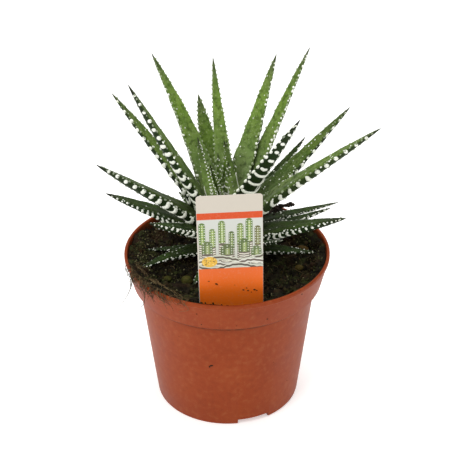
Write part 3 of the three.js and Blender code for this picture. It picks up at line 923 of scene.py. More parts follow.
# %% Pot profile
# Each point is a radius, a height and the radius of its rounding.
POT_SEGMENTS = 192
POT_PROFILE = (
    (0.0, 0.0, 0),
    (10.4, 0.0, 0.5),
    (12.0, FOOT_DEPTH, 0.5),
    (39.4, FOOT_DEPTH, 0.3),
    (39.8, 0.0, 0.4),
    (WALL_FOOT_RADIUS, 0.0, 1.3),
    (WALL_TOP_RADIUS, COLLAR_FOOT, 0.7),
    (COLLAR_RADIUS, COLLAR_FOOT, 0.6),
    (COLLAR_TOP_RADIUS, LIP_INSIDE_FOOT, 0.5),
    (RIM_RADIUS, LIP_FOOT, 0.3),
    (RIM_RADIUS, POT_HEIGHT, 0.6),
    (RIM_RADIUS - 1.7, POT_HEIGHT, 0.6),
    (RIM_RADIUS - LIP_WALL, LIP_INSIDE_FOOT, 0.5),
    (COLLAR_RADIUS - WALL, COLLAR_INSIDE_FOOT, 0.5),
    (wall_radius(75.6) - WALL, 75.6, 0.6),
    (wall_radius(FLOOR_TOP) - WALL, FLOOR_TOP, 1.5),
    (0.0, FLOOR_TOP, 0),
)
print("pot profile:", len(POT_PROFILE), "corners")


# %% Pot body
def rounded(profile, steps=4):
    """A profile with each corner replaced by an arc of its own radius."""
    points = []
    for i, (x, z, radius) in enumerate(profile):
        here = np.array((x, z))
        if not radius or i in (0, len(profile) - 1):
            points.append(here)
            continue
        before = np.array(profile[i - 1][:2]) - here
        after = np.array(profile[i + 1][:2]) - here
        reach = min(radius, 0.45 * np.linalg.norm(before), 0.45 * np.linalg.norm(after))
        start, end = here + unit(before) * reach, here + unit(after) * reach
        for k in range(steps + 1):
            t = k / steps
            points.append(start * (1 - t) ** 2 + here * 2 * t * (1 - t) + end * t * t)
    return np.array(points)


def turned(name, profile, segments, materials, centre=(0.0, 0.0)):
    """A closed shape turned round an upright axis, from a profile in mm that starts and ends on it."""
    points = [(centre[0], centre[1], profile[0][1])]
    angles = np.arange(segments) / segments * math.tau
    for radius, height in profile[1:-1]:
        ring = [(centre[0] + radius * math.cos(a), centre[1] + radius * math.sin(a)) for a in angles]
        points += [(x, y, height) for x, y in ring]
    points.append((centre[0], centre[1], profile[-1][1]))
    faces = []
    rings = len(profile) - 2
    for k in range(segments):
        n = (k + 1) % segments
        faces.append((0, 1 + n, 1 + k))
        for r in range(rings - 1):
            low, high = 1 + r * segments, 1 + (r + 1) * segments
            faces.append((low + k, low + n, high + n, high + k))
        last = 1 + (rings - 1) * segments
        faces.append((last + k, last + n, len(points) - 1))
    return mesh_object(name, np.array(points) * MM, faces, materials)


pot_body = turned("pot_body", rounded(POT_PROFILE), POT_SEGMENTS, [POLYPROPYLENE])
print("pot body:", len(pot_body.data.polygons), "faces")

# %% [markdown]
# ## The pot's drain holes and foot slots
#
# Eight round holes in the raised floor and three wide slots under the foot ring let the water out. A
# Boolean modifier would need a cutter object for each. They repeat round the axis, so one node tree makes
# a ring of cylinders and a ring of boxes and takes both from the body.


# %% Pot openings tree
def pot_openings_tree():
    inputs = (
        ("Body", "Geometry"),
        ("Hole count", "Int"),
        ("Hole radius", "Float"),
        ("Hole ring radius", "Float"),
        ("Slot count", "Int"),
        ("Slot size", "Vector"),
        ("Slot ring radius", "Float"),
        ("Slot turn", "Float"),
    )
    tree, start, identifiers = open_tree("pot openings", inputs)
    given = start.outputs

    def ring_of(cutter, count, radius):
        circle = add(tree, "GeometryNodeMeshCircle", links={"Vertices": count, "Radius": radius})
        place = add(tree, "GeometryNodeInputPosition").outputs[0]
        facing = add(tree, "FunctionNodeAlignRotationToVector", {"axis": "X"}, {"Vector": place})
        copy_links = {"Points": circle.outputs[0], "Instance": cutter, "Rotation": facing.outputs[0]}
        copies = add(tree, "GeometryNodeInstanceOnPoints", links=copy_links)
        return add(tree, "GeometryNodeRealizeInstances", links={"Geometry": copies.outputs[0]}).outputs[0]

    drill_links = {"Radius": given["Hole radius"]}
    drill = add(tree, "GeometryNodeMeshCylinder", links=drill_links, Vertices=28, Depth=30 * MM)
    block = add(tree, "GeometryNodeMeshCube", links={"Size": given["Slot size"]})
    holes = ring_of(drill.outputs["Mesh"], given["Hole count"], given["Hole ring radius"])
    slots = ring_of(block.outputs["Mesh"], given["Slot count"], given["Slot ring radius"])
    spin = add(tree, "ShaderNodeCombineXYZ", links={"Z": given["Slot turn"]})
    turn_links = {"Geometry": slots, "Rotation": spin.outputs[0]}
    slots = add(tree, "GeometryNodeTransform", links=turn_links).outputs[0]
    cut = add(tree, "GeometryNodeMeshBoolean", {"operation": "DIFFERENCE", "solver": "EXACT"})
    tree.links.new(given["Body"], cut.inputs["Mesh 1"])
    for cutters in (holes, slots):
        tree.links.new(cutters, cut.inputs["Mesh 2"])
    real = add(tree, "GeometryNodeRealizeInstances", links={"Geometry": cut.outputs["Mesh"]})
    close_tree(tree, start, real.outputs[0])
    return tree, identifiers


# %% Cut the pot's openings
pot_mesh = grown_mesh(
    pot_body,
    pot_openings_tree(),
    {
        "Hole count": 8,
        "Hole radius": 4 * MM,
        "Hole ring radius": 27 * MM,
        "Slot count": 3,
        "Slot size": (9.6 * MM, 19.5 * MM, 6.8 * MM),
        "Slot ring radius": 41 * MM,
        "Slot turn": math.radians(-69),
        "Finish": POLYPROPYLENE,
    },
)
pot_mesh.shade_smooth()
pot_mesh.set_sharp_from_angle(angle=math.radians(40))
print("pot with openings:", len(pot_mesh.polygons), "faces")

# %% [markdown]
# ## Peat
#
# Potting soil is dark, damp peat with bits of bark, pale grit and a little moss. It hardly shines. Each
# kind of bit could have its own material. One that picks its colour by a tint between 0 and 1, stored on
# each crumb, gives every shade between them too and serves the bed, the crumbs and the specks of dirt.


# %% Peat material
# From wet peat through bark and moss to pale grit.
PEAT_SHADES = (
    (0.0, 0x14110A),
    (0.35, 0x221C10),
    (0.6, 0x302715),
    (0.74, 0x40301A),
    (0.84, 0x3B401F),
    (0.92, 0x5B5F34),
    (1.0, 0x9C9472),
)


def potting_peat():
    material, tree, peat = new_material("potting peat, damp and crumbly")
    place = add(tree, "ShaderNodeTexCoord").outputs["Object"]
    tint = add(tree, "ShaderNodeAttribute", {"attribute_name": "tint"}).outputs["Fac"]
    # Grain under 2 mm, mossy and wet patches about 6 mm across and rusty ones about 9 mm.
    grain, patches, rusty = (
        add(tree, "ShaderNodeTexNoise", links={"Vector": place}, Scale=scale, Detail=detail).outputs["Fac"]
        for scale, detail in ((600.0, 4.0), (170.0, 3.0), (110.0, 2.0))
    )
    shade = layered(
        tree,
        add(tree, "ShaderNodeValToRGB", {"stops": PEAT_SHADES}, {"Fac": tint}).outputs["Color"],
        (
            (grain, 0.35, 0.7, 0.55, 0x120E08),
            (patches, 0.52, 0.66, 0.5, 0x3E4520),
            (rusty, 0.52, 0.66, 0.5, 0x3C2618),
            (patches, 0.46, 0.34, 0.75, 0x0C0A06),
        ),
    )
    bumps = add(tree, "ShaderNodeBump", links={"Height": grain}, Strength=0.7, Distance=0.4 * MM)
    sources = {"Base Color": shade, "Normal": bumps.outputs[0]}
    fill(tree, peat, sources, Roughness=0.9, Specular_IOR_Level=0.15)
    return material


PEAT = potting_peat()
print(PEAT.name)

# %% [markdown]
# ## The bed of soil
#
# The soil is a closed body inside the pot. Its top is a fine grid of rings that follows the same low
# mound and left-hand rise as the solid. Bump alone would leave its edge against the wall a clean line, so
# lumps of three sizes are real, and so are the heaps against the wall. The ring at the edge ends a hair
# from the wall all the way round.

# %% Soil heights
SOIL_LEVEL = 86.5
SOIL_FLOOR = 5.6
SOIL_SHOULDER = 75.0
SOIL_GAP = 0.3
EDGE_GAP = 0.15
SOIL_AROUND = 300
SOIL_RINGS = 76
# No peat is heaped on these pebbles.
PEBBLE_PLACES = ((45, 13), (42, -7), (-23, -23), (-34, -22))


def soft_step(value, low, high):
    """0 below low, 1 above high, and a smooth rise between."""
    share = min(1, max(0, (value - low) / (high - low)))
    return share * share * (3 - 2 * share)


def soil_height(x, y):
    """The solid's smooth soil height at a place, in mm."""
    from_crown = math.hypot(x - CROWN_PLACE[0], y - CROWN_PLACE[1])
    left_rise = 3.4 * soft_step(-x - 0.5 * y, 12, 52)
    ripple = 0.7 * math.sin(x / 6.1 + 1) * math.cos(y / 5.3)
    return SOIL_LEVEL + 2.5 * math.exp(-((from_crown / 26) ** 2)) + left_rise + ripple


def soil_lumps(x, y):
    """Lumps of about 8, 3 and 1 mm, and peat heaped against the wall but not over the pebbles, in mm."""
    wide = noise.noise(Vector((x / 8, y / 8, 3.0))) * 2.1
    middle = noise.noise(Vector((x / 3.1, y / 3.1, 7.0))) * 1.5
    fine = noise.noise(Vector((x / 1.2, y / 1.2, 11.0))) * 0.6
    out = math.hypot(x, y)
    azimuth = math.degrees(math.atan2(y, x)) % 360
    to_left = soft_step(azimuth, 60, 110) * (1 - soft_step(azimuth, 232, 246))
    to_right = soft_step(azimuth, 300, 345) if azimuth > 180 else 1 - soft_step(azimuth, 60, 110)
    behind_left = soft_step(azimuth, 105, 135) * (1 - soft_step(azimuth, 175, 200))
    turned_azimuth = azimuth - 360 if azimuth > 180 else azimuth
    behind_right = soft_step(turned_azimuth, -25, 10) * (1 - soft_step(turned_azimuth, 60, 95))
    behind = soft_step(turned_azimuth, 40, 58) * (1 - soft_step(turned_azimuth, 88, 105))
    heap = 5.4 * to_left + 4.6 * to_right - 2.6 * behind_left + 2.0 * behind_right + 3.4 * behind
    heap *= soft_step(out, 44, 57)
    clear = min(soft_step(math.dist((x, y), pebble), 5, 12) for pebble in PEBBLE_PLACES)
    heap = heap * clear - 1.2 * (1 - clear)
    front_hollow = 1.4 * soft_step(-y, 40, 50) * (1 - to_left)
    return (wide + middle + fine) * (1 - 0.5 * soft_step(-y, 38, 48)) + heap - front_hollow


def soil_top(x, y):
    """The height of the lumpy surface at a place, in mm."""
    return soil_height(x, y) + soil_lumps(x, y)


print("soil in the middle", round(soil_top(0, 0), 1), "mm up")


# %% Soil bed
def soil_bed():
    """The bed's points in mm, its faces and its tints."""
    points = []
    angles = np.arange(SOIL_AROUND) / SOIL_AROUND * math.tau
    for height in (SOIL_FLOOR, SOIL_SHOULDER):
        radius = wall_radius(height) - WALL - SOIL_GAP
        points += [(radius * math.cos(a), radius * math.sin(a), height) for a in angles]
    for ring in range(SOIL_RINGS):
        share = 1 - ring / SOIL_RINGS
        for a in angles:
            near_wall = soil_top(56.5 * math.cos(a), 56.5 * math.sin(a))
            reach = (collar_inside_radius(near_wall) - EDGE_GAP) * share
            x, y = reach * math.cos(a), reach * math.sin(a)
            points.append((x, y, soil_top(x, y)))
    faces = []
    for ring in range(SOIL_RINGS + 1):
        for k in range(SOIL_AROUND):
            n = (k + 1) % SOIL_AROUND
            low, high = ring * SOIL_AROUND, (ring + 1) * SOIL_AROUND
            faces.append((low + k, low + n, high + n, high + k))
    bottom, top = len(points), len(points) + 1
    points += [(0, 0, SOIL_FLOOR), (0, 0, soil_height(0, 0))]
    last = (SOIL_RINGS + 1) * SOIL_AROUND
    for k in range(SOIL_AROUND):
        n = (k + 1) % SOIL_AROUND
        faces.append((bottom, n, k))
        faces.append((last + k, last + n, top))
    tints = [0.25 + 0.35 * noise.noise(Vector((x / 5, y / 5, 20.0))) for x, y, _ in points]
    return points, faces, tints


bed_points, bed_faces, bed_tints = soil_bed()
soil = mesh_object("soil_bed", np.array(bed_points) * MM, bed_faces, [PEAT])
set_attribute(soil.data, "tint", bed_tints)
print("soil bed:", len(soil.data.polygons), "faces")

# %% [markdown]
# ## Crumbs of soil
#
# Thousands of crumbs lie on the bed. Particles would be lost in the export, so a node tree scatters
# points over a ground surface, puts a small rough lump of a few faces on each with its own turn, size and
# tint, and makes them real. The ground is a coarse sheet at the soil's height, or part of a ring of it,
# which is thrown away afterwards.


# %% Crumb tree
def crumb_tree():
    inputs = (
        ("Ground", "Geometry"),
        ("Crumbs per square metre", "Float"),
        ("Smallest", "Vector"),
        ("Largest", "Vector"),
        ("Seed", "Int"),
        ("Darkest tint", "Float"),
        ("Lightest tint", "Float"),
    )
    tree, start, identifiers = open_tree("soil crumbs", inputs)
    given = start.outputs
    seed = given["Seed"]
    spread_links = {"Mesh": given["Ground"], "Density": given["Crumbs per square metre"], "Seed": seed}
    spread = add(tree, "GeometryNodeDistributePointsOnFaces", links=spread_links)
    turn_links = {"Max": (math.tau, math.tau, math.tau), "Seed": seed}
    turn = add(tree, "FunctionNodeRandomValue", {"data_type": "FLOAT_VECTOR"}, turn_links)
    size_links = {"Min": given["Smallest"], "Max": given["Largest"], "Seed": seed}
    size = add(tree, "FunctionNodeRandomValue", {"data_type": "FLOAT_VECTOR"}, size_links)
    # A random number's own range sits in its third and fourth sockets.
    tint_links = {2: given["Darkest tint"], 3: given["Lightest tint"], "Seed": seed}
    tint = add(tree, "FunctionNodeRandomValue", {"data_type": "FLOAT"}, tint_links)
    lump = add(tree, "GeometryNodeMeshIcoSphere", Radius=1.0, Subdivisions=1)
    mark_links = {"Geometry": spread.outputs["Points"], "Value": tint.outputs[1]}
    mark_settings = {"data_type": "FLOAT", "domain": "POINT"}
    marked = add(tree, "GeometryNodeStoreNamedAttribute", mark_settings, mark_links, Name="tint")
    copy_links = {"Points": marked.outputs[0], "Instance": lump.outputs["Mesh"]}
    copy_links.update({"Rotation": turn.outputs[0], "Scale": size.outputs[0]})
    copies = add(tree, "GeometryNodeInstanceOnPoints", links=copy_links)
    real = add(tree, "GeometryNodeRealizeInstances", links={"Geometry": copies.outputs[0]})
    rough = add(tree, "ShaderNodeTexNoise", {"noise_dimensions": "3D"}, Scale=1300.0, Detail=1.0)
    centre_links = {0: rough.outputs["Color"], 1: (0.5, 0.5, 0.5)}
    centred = add(tree, "ShaderNodeVectorMath", {"operation": "SUBTRACT"}, centre_links)
    shove_links = {0: centred.outputs[0]}
    shove = add(tree, "ShaderNodeVectorMath", {"operation": "SCALE"}, shove_links, Scale=0.9 * MM)
    shake_links = {"Geometry": real.outputs[0], "Offset": shove.outputs[0]}
    shaken = add(tree, "GeometryNodeSetPosition", links=shake_links)
    close_tree(tree, start, shaken.outputs[0])
    return tree, identifiers


CRUMBS = crumb_tree()


def ground_disc(first_angle, last_angle, inner, outer, lift):
    """A guide surface for crumbs: part of a ring at the soil's height, in mm and degrees."""
    points, faces = [], []
    around, rings = 40, 8
    for r in range(rings + 1):
        radius = inner + (outer - inner) * r / rings
        for k in range(around + 1):
            a = math.radians(first_angle + (last_angle - first_angle) * k / around)
            x, y = radius * math.cos(a), radius * math.sin(a)
            points.append((x * MM, y * MM, (soil_top(x, y) + lift) * MM))
    for r in range(rings):
        for k in range(around):
            low = r * (around + 1) + k
            faces.append((low, low + around + 1, low + around + 2, low + 1))
    return mesh_object("crumb_ground", points, faces)


def crumbs(part_of_ring, per_square_metre, smallest, largest, seed, tints):
    """One scatter of crumbs over part of a ring, with their least and most size in mm and tint."""
    values = {
        "Crumbs per square metre": per_square_metre,
        "Smallest": tuple(v * MM for v in smallest),
        "Largest": tuple(v * MM for v in largest),
        "Seed": seed,
        "Darkest tint": tints[0],
        "Lightest tint": tints[1],
        "Finish": PEAT,
    }
    return grown_mesh(ground_disc(*part_of_ring), CRUMBS, values)


# %% Scatter the crumbs
# Each is its part of the ring, as two angles, two radii and a lift, and then its crumbs per square metre,
# their least and most half lengths, a seed and the range of their tints.
SCATTERS = (
    ((0, 360, 6, 57, 0.0), 240000.0, (0.35, 0.3, 0.25), (1.1, 0.9, 0.8), 3, (0.0, 0.84)),
    ((-55, 235, 10, 53, 0.4), 38000.0, (0.8, 0.6, 0.5), (2.2, 1.5, 1.1), 5, (0.0, 0.72)),
    ((75, 242, 46, 57, 0.4), 420000.0, (0.25, 0.2, 0.2), (0.9, 0.6, 0.6), 7, (0.66, 1.0)),
    ((-50, 60, 48, 56, 0.3), 200000.0, (0.25, 0.2, 0.2), (0.8, 0.6, 0.6), 8, (0.5, 0.97)),
    ((0, 360, 12, 54, 0.6), 85000.0, (0.3, 0.2, 0.2), (0.9, 0.7, 0.5), 9, (0.8, 1.0)),
    ((0, 360, 14, 55, 0.2), 9000.0, (1.3, 1.0, 0.8), (2.8, 2.2, 1.6), 11, (0.0, 0.5)),
    ((0, 360, 14, 55, 0.3), 14000.0, (0.9, 0.7, 0.5), (1.8, 1.3, 1.0), 14, (0.6, 0.9)),
    ((206, 236, 56, 60.2, 0.3), 420000.0, (0.3, 0.25, 0.2), (1.0, 0.7, 0.6), 12, (0.3, 0.96)),
)
crumb_meshes = [crumbs(*scatter) for scatter in SCATTERS]
print("crumbs:", sum(len(m.polygons) for m in crumb_meshes), "faces")

# %% [markdown]
# ## Roots and peat fibres
#
# Fine fibres lie about on the soil, and on the left a tangle of roots has grown over the rim, with a few
# strands that hang down outside. Hair curves would be lost in the export. So each fibre is a wandering
# line of edges, and a node tree turns the lines into thin tubes whose radius comes from the line itself.


# %% Fibre tree
def fibre_tree():
    tree, start, identifiers = open_tree("fibres", (("Lines", "Geometry"), ("Sides", "Int")))
    radius_settings = {"data_type": "FLOAT"}
    radius = add(tree, "GeometryNodeInputNamedAttribute", radius_settings, Name="fibre_radius").outputs[0]
    curves = add(tree, "GeometryNodeMeshToCurve", links={"Mesh": start.outputs["Lines"]})
    ring_links = {"Resolution": start.outputs["Sides"]}
    ring = add(tree, "GeometryNodeCurvePrimitiveCircle", links=ring_links, Radius=1.0)
    tube_links = {"Curve": curves.outputs[0], "Profile Curve": ring.outputs[0], "Scale": radius}
    tube = add(tree, "GeometryNodeCurveToMesh", links=tube_links, Fill_Caps=True)
    real = add(tree, "GeometryNodeRealizeInstances", links={"Geometry": tube.outputs[0]})
    smooth = add(tree, "GeometryNodeSetShadeSmooth", links={"Geometry": real.outputs[0]})
    close_tree(tree, start, smooth.outputs[0])
    return tree, identifiers


FIBRES = fibre_tree()


def root_fibre():
    material, tree, fibre = new_material("dry roots and peat fibres")
    tint = add(tree, "ShaderNodeAttribute", {"attribute_name": "tint"}).outputs["Fac"]
    browns = ((0.0, 0x2A2012), (0.4, 0x4A3A24), (0.7, 0x665336), (1.0, 0x857450))
    shade = add(tree, "ShaderNodeValToRGB", {"stops": browns}, {"Fac": tint}).outputs["Color"]
    fill(tree, fibre, {"Base Color": shade}, Roughness=0.75, Specular_IOR_Level=0.2)
    return material


ROOT_FIBRE = root_fibre()


def fibres(lines):
    """Tubes along lines; each line is its points in mm, its radius in mm and its tint."""
    points, edges, radii, tints = [], [], [], []
    for path, radius, tint in lines:
        first = len(points)
        points += [tuple(v * MM for v in p) for p in path]
        edges += [(first + k, first + k + 1) for k in range(len(path) - 1)]
        radii += [radius * MM * (1 - 0.6 * (k / (len(path) - 1)) ** 2) for k in range(len(path))]
        tints += [tint] * len(path)
    mesh = bpy.data.meshes.new("fibre_lines")
    mesh.from_pydata(points, edges, [])
    guide = placed("fibre_lines", mesh)
    set_attribute(mesh, "fibre_radius", radii)
    set_attribute(mesh, "tint", tints)
    return grown_mesh(guide, FIBRES, {"Sides": 5, "Finish": ROOT_FIBRE})


# %% Lay the fibres
FIBRE_STEP = 1.2
FIBRE_LIMIT = 55.5


def wandering(rng, angle, radius, lengths, bend, lift):
    """A line of short steps over the soil that keeps changing its heading."""
    x, y = radius * math.cos(angle), radius * math.sin(angle)
    length = rng.uniform(*lengths)
    heading = rng.uniform(0, math.tau)
    path = []
    for _ in range(max(3, int(length / FIBRE_STEP))):
        path.append((x, y, soil_top(x, y) + lift + rng.uniform(-0.2, 0.4)))
        heading += rng.gauss(0, bend)
        x += FIBRE_STEP * math.cos(heading)
        y += FIBRE_STEP * math.sin(heading)
        if math.hypot(x, y) > FIBRE_LIMIT:
            break
    return path


def over_the_rim(rng, azimuth):
    """A root that leaves the soil near the wall, crosses the lip and hangs down the collar."""
    a = math.radians(azimuth)
    drop = rng.uniform(0.5, 3) + 7 * rng.random() ** 3
    stations = (
        (51.5 + rng.uniform(-2, 2), 90.5 + rng.uniform(-0.5, 1.2)),
        (55.5, 93.2 + rng.uniform(-1, 1)),
        (58.2, 96.2 + rng.uniform(0, 1.2)),
        (60.4 + rng.uniform(0, 1), 95.4 + rng.uniform(0, 0.6)),
        (60.6 + rng.uniform(0, 0.8), 94.6 - drop * 0.45),
        (60.3 - drop * 0.12 + rng.uniform(0, 1), 94.6 - drop),
    )
    path = []
    for radius, height in stations:
        a += rng.gauss(0, 0.05)
        path.append((radius * math.cos(a), radius * math.sin(a), height))
    return path


def smoothed(path, per_span):
    """The same line with more points, so that it bends softly."""
    spans = len(path) - 1
    knots = np.arange(len(path), dtype=float)
    return smooth_curve(knots, np.array(path, dtype=float), np.linspace(0, spans, spans * per_span + 1))


fibre_rng = random.Random(21)
fibre_lines = []


def lay_fibre(path, per_span, radii, fibre_tints):
    """Adds one line, smoothed, with a radius in mm and a tint drawn from those given."""
    if len(path) > 2:
        line = smoothed(path, per_span)
        fibre_lines.append((line, fibre_rng.uniform(*radii), fibre_rng.choice(fibre_tints)))


for _ in range(120):
    angle, radius = fibre_rng.uniform(0, math.tau), 55 * math.sqrt(fibre_rng.uniform(0.1, 0.97))
    path = wandering(fibre_rng, angle, radius, (4, 14), 0.35, 0.5)
    lay_fibre(path, 2, (0.08, 0.18), (0.1, 0.3, 0.5, 0.8))
for _ in range(110):
    path = wandering(fibre_rng, math.radians(fibre_rng.gauss(217, 13)), 54, (5, 12), 0.5, 1.2)
    lay_fibre(path, 2, (0.1, 0.2), (0.2, 0.45, 0.7, 0.9))
for _ in range(95):
    azimuth = fibre_rng.choice((208, 214, 219, 224, 230, 236)) + fibre_rng.gauss(0, 2.5)
    path = over_the_rim(fibre_rng, azimuth)
    lay_fibre(path, 4, (0.1, 0.22), (0.1, 0.3, 0.5, 0.7))
HANGING_ROOTS = (
    (
        (-47, -27, 91.5),
        (-50.5, -28.5, 95.6),
        (-52.4, -29.6, 96.4),
        (-54, -30, 93),
        (-55.5, -29.5, 87),
        (-58, -28.5, 81),
        (-62, -27, 74),
    ),
    ((-47, -27, 92), (-51, -29, 96), (-53.6, -30.2, 95.2), (-54.2, -30, 91), (-54, -30.4, 87.5)),
    ((-48, -26, 92), (-51.8, -28, 96.2), (-54.6, -29, 94), (-55, -29.2, 89.5), (-54.6, -29.4, 86.5)),
    (
        (-41, -37, 92),
        (-44.4, -40, 96.2),
        (-46, -41, 94),
        (-46.5, -40.8, 88),
        (-47.6, -39, 83),
        (-50.5, -36.5, 79),
    ),
)
fibre_lines += [(smoothed(path, 5), 0.27, 0.3) for path in HANGING_ROOTS]
fibre_mesh = fibres(fibre_lines)
print("fibres:", len(fibre_lines), "lines,", len(fibre_mesh.polygons), "faces")

# %% [markdown]
# ## Dirt on the pot
#
# The pot has been handled: specks of peat stick to it, and a hair-thin parting line from the mould runs
# down the collar. Both could be a pattern in the plastic, but they stand out from it a little. The specks
# are flattened balls of peat from the tubercle tree, the plainest at places looked up one at a time and
# the rest scattered. The line is a very low rib.


# %% Specks and the parting line
def specks(name, places):
    """Flattened lumps of peat; each is a point and an outward direction in mm, and its half lengths."""
    guide = mesh_object(name, [Vector(place) * MM for place, _, _ in places], [])
    turns = [standing_turn(outward, (0.1, 0.2, 1)) for _, outward, _ in places]
    set_attribute(guide.data, "ball_turn", turns, "FLOAT_VECTOR")
    set_attribute(guide.data, "ball_size", [Vector(size) * MM for _, _, size in places], "FLOAT_VECTOR")
    set_attribute(guide.data, "tint", np.full(len(places), 0.3))
    return grown_mesh(guide, TUBERCLES, {"Ball sides": 7, "Ball rings": 4, "Finish": PEAT})


def on_wall(azimuth, height, across, up, proud=0.12):
    """A speck on the pot's outer side at an azimuth in degrees and a height in mm."""
    a = math.radians(azimuth)
    radius = wall_radius(height) if height < COLLAR_FOOT else collar_radius(height)
    outward = Vector((math.cos(a), math.sin(a), 0))
    return outward * radius + Vector((0, 0, height)), outward, (across, up, proud)


speck_rng = random.Random(8)
wall_specks = [
    on_wall(-101.5, 46.5, 0.9, 0.55),
    on_wall(-102.5, 45.6, 0.5, 0.7),
    on_wall(-100.6, 46.9, 0.6, 0.4),
    on_wall(-67, 82, 0.55, 0.5),
    on_wall(-45, 91.5, 0.8, 0.4),
    on_wall(-105, 80, 0.4, 0.35),
    on_wall(-107, 88, 0.5, 0.4),
]
for _ in range(26):
    azimuth = speck_rng.uniform(0, 360)
    height = speck_rng.choice((speck_rng.uniform(10, 76), speck_rng.uniform(78, 92)))
    across, up = speck_rng.uniform(0.15, 0.35), speck_rng.uniform(0.15, 0.3)
    wall_specks.append(on_wall(azimuth, height, across, up, 0.08))
dirt_mesh = specks("pot_dirt", wall_specks)
print("specks on the pot:", len(wall_specks))

# %% Parting line
# A rib with a three-cornered section: two corners sunk in the collar and one that stands proud of it.
LINE_AZIMUTH = math.radians(-94.6)
LINE_SECTION = ((-0.12, -0.1), (0.0, 0.1), (0.12, -0.1))
line_points, line_faces = [], []
for height in (78.5, 84, 89, 92.4):
    for offset, proud in LINE_SECTION:
        a = LINE_AZIMUTH + offset / collar_radius(height)
        radius = collar_radius(height) + proud
        line_points.append(Vector((radius * math.cos(a), radius * math.sin(a), height)) * MM)
for low in (0, 3, 6):
    for k in range(3):
        n = (k + 1) % 3
        line_faces.append((low + k, low + n, low + 3 + n, low + 3 + k))
line_faces += [(0, 2, 1), (9, 10, 11)]
line_mesh = mesh_alone(mesh_object("parting_line", line_points, line_faces, [POLYPROPYLENE]))
print("parting line:", len(line_faces), "faces")


# %% Join meshes into pieces
def joined(name, meshes):
    """One object from several meshes, keeping their materials and values."""
    things = [placed(name, mesh) for mesh in meshes]
    whole = things[0]
    with bpy.context.temp_override(
        active_object=whole, object=whole, selected_objects=things, selected_editable_objects=things
    ):
        bpy.ops.object.join()
    whole.name = name
    return whole


def stands_for(piece, node_name):
    """Hands a finished piece over in place of its solid."""
    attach(piece, "root")
    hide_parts(node_name)


pot = joined("pot_moulded", [pot_mesh, line_mesh, dirt_mesh])
stands_for(pot, "nursery_pot")
whole_soil = joined("soil_with_crumbs", [mesh_alone(soil), *crumb_meshes, fibre_mesh])
stands_for(whole_soil, "potting_soil")
print("pot", len(pot.data.polygons), "faces; soil", len(whole_soil.data.polygons), "faces")

# %% [markdown]
# ## Pebbles
#
# A few rounded olive-brown stones lie in the soil. A Displace modifier could roughen a ball, but noise
# read at each point here also lets every stone have its own dents. Each starts as a fine ball at the
# solid's own middle and half lengths.


# %% Pebble material and shapes
def river_gravel():
    material, tree, stone = new_material("river gravel, olive brown, dusty")
    place = add(tree, "ShaderNodeTexCoord").outputs["Object"]
    # Blotches over 2 mm across and grains of sand size.
    blotches, grains = (
        add(tree, "ShaderNodeTexNoise", links={"Vector": place}, Scale=scale, Detail=detail).outputs["Fac"]
        for scale, detail in ((420.0, 4.0), (2600.0, 2.0))
    )
    olives = ((0.3, 0x2A2E12), (0.5, 0x3F4318), (0.65, 0x544B24), (0.8, 0x3C3A1A))
    olive = add(tree, "ShaderNodeValToRGB", {"stops": olives}, {"Fac": blotches}).outputs["Color"]
    tint = add(tree, "ShaderNodeAttribute", {"attribute_name": "tint"}).outputs["Fac"]
    shade = add(tree, "ShaderNodeMix", COLOUR_MIX, {0: tint, 6: olive, 7: colour(0x5E4420)}).outputs[2]
    shade = layered(tree, shade, ((grains, 0.5, 0.75, 0.5, 0x231E10),))
    bumps = add(tree, "ShaderNodeBump", links={"Height": grains}, Strength=0.4, Distance=0.15 * MM)
    sources = {"Base Color": shade, "Normal": bumps.outputs[0]}
    fill(tree, stone, sources, Roughness=0.7, Specular_IOR_Level=0.1)
    return material


GRAVEL = river_gravel()
BROWN_PEBBLES = {"pebble_right": 0.75, "pebble_right_small": 0.45}
for index, name in enumerate(sorted(n for n in nodes if n.startswith("pebble"))):
    low, high = (np.array(corner[:]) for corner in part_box(name))
    middle, half = (low + high) / 2, (high - low) / 2
    ball = bmesh.new()
    bmesh.ops.create_icosphere(ball, subdivisions=4, radius=1.0)
    for vertex in ball.verts:
        dent = 0.10 * noise.noise(vertex.co * 1.3 + Vector((index * 7.0, 0, 0)))
        dent += 0.04 * noise.noise(vertex.co * 4.0 + Vector((0, index * 5.0, 0)))
        vertex.co = Vector(middle + np.array(vertex.co[:]) * half * (0.93 + dent))
    mesh = bpy.data.meshes.new(name + "_stone")
    ball.to_mesh(mesh)
    ball.free()
    mesh.materials.append(GRAVEL)
    mesh.shade_smooth()
    set_attribute(mesh, "tint", np.full(len(mesh.vertices), BROWN_PEBBLES.get(name, 0.1)))
    stands_for(placed(name + "_stone", mesh), name)
    print(name, "half lengths", [round(v / MM, 1) for v in half], "mm")

# %% [markdown]
# ## The crown
#
# Under the leaves is a short stem, wrapped in their pale, thick bases. It shows only between leaves, as
# pale green that goes straw-coloured and papery where it meets the soil, so a turned shape with one
# height-led material is enough. At its top the youngest leaves are still a tight bud. They have no
# solids, so a few numbers place each, and the big leaves' own code grows it.


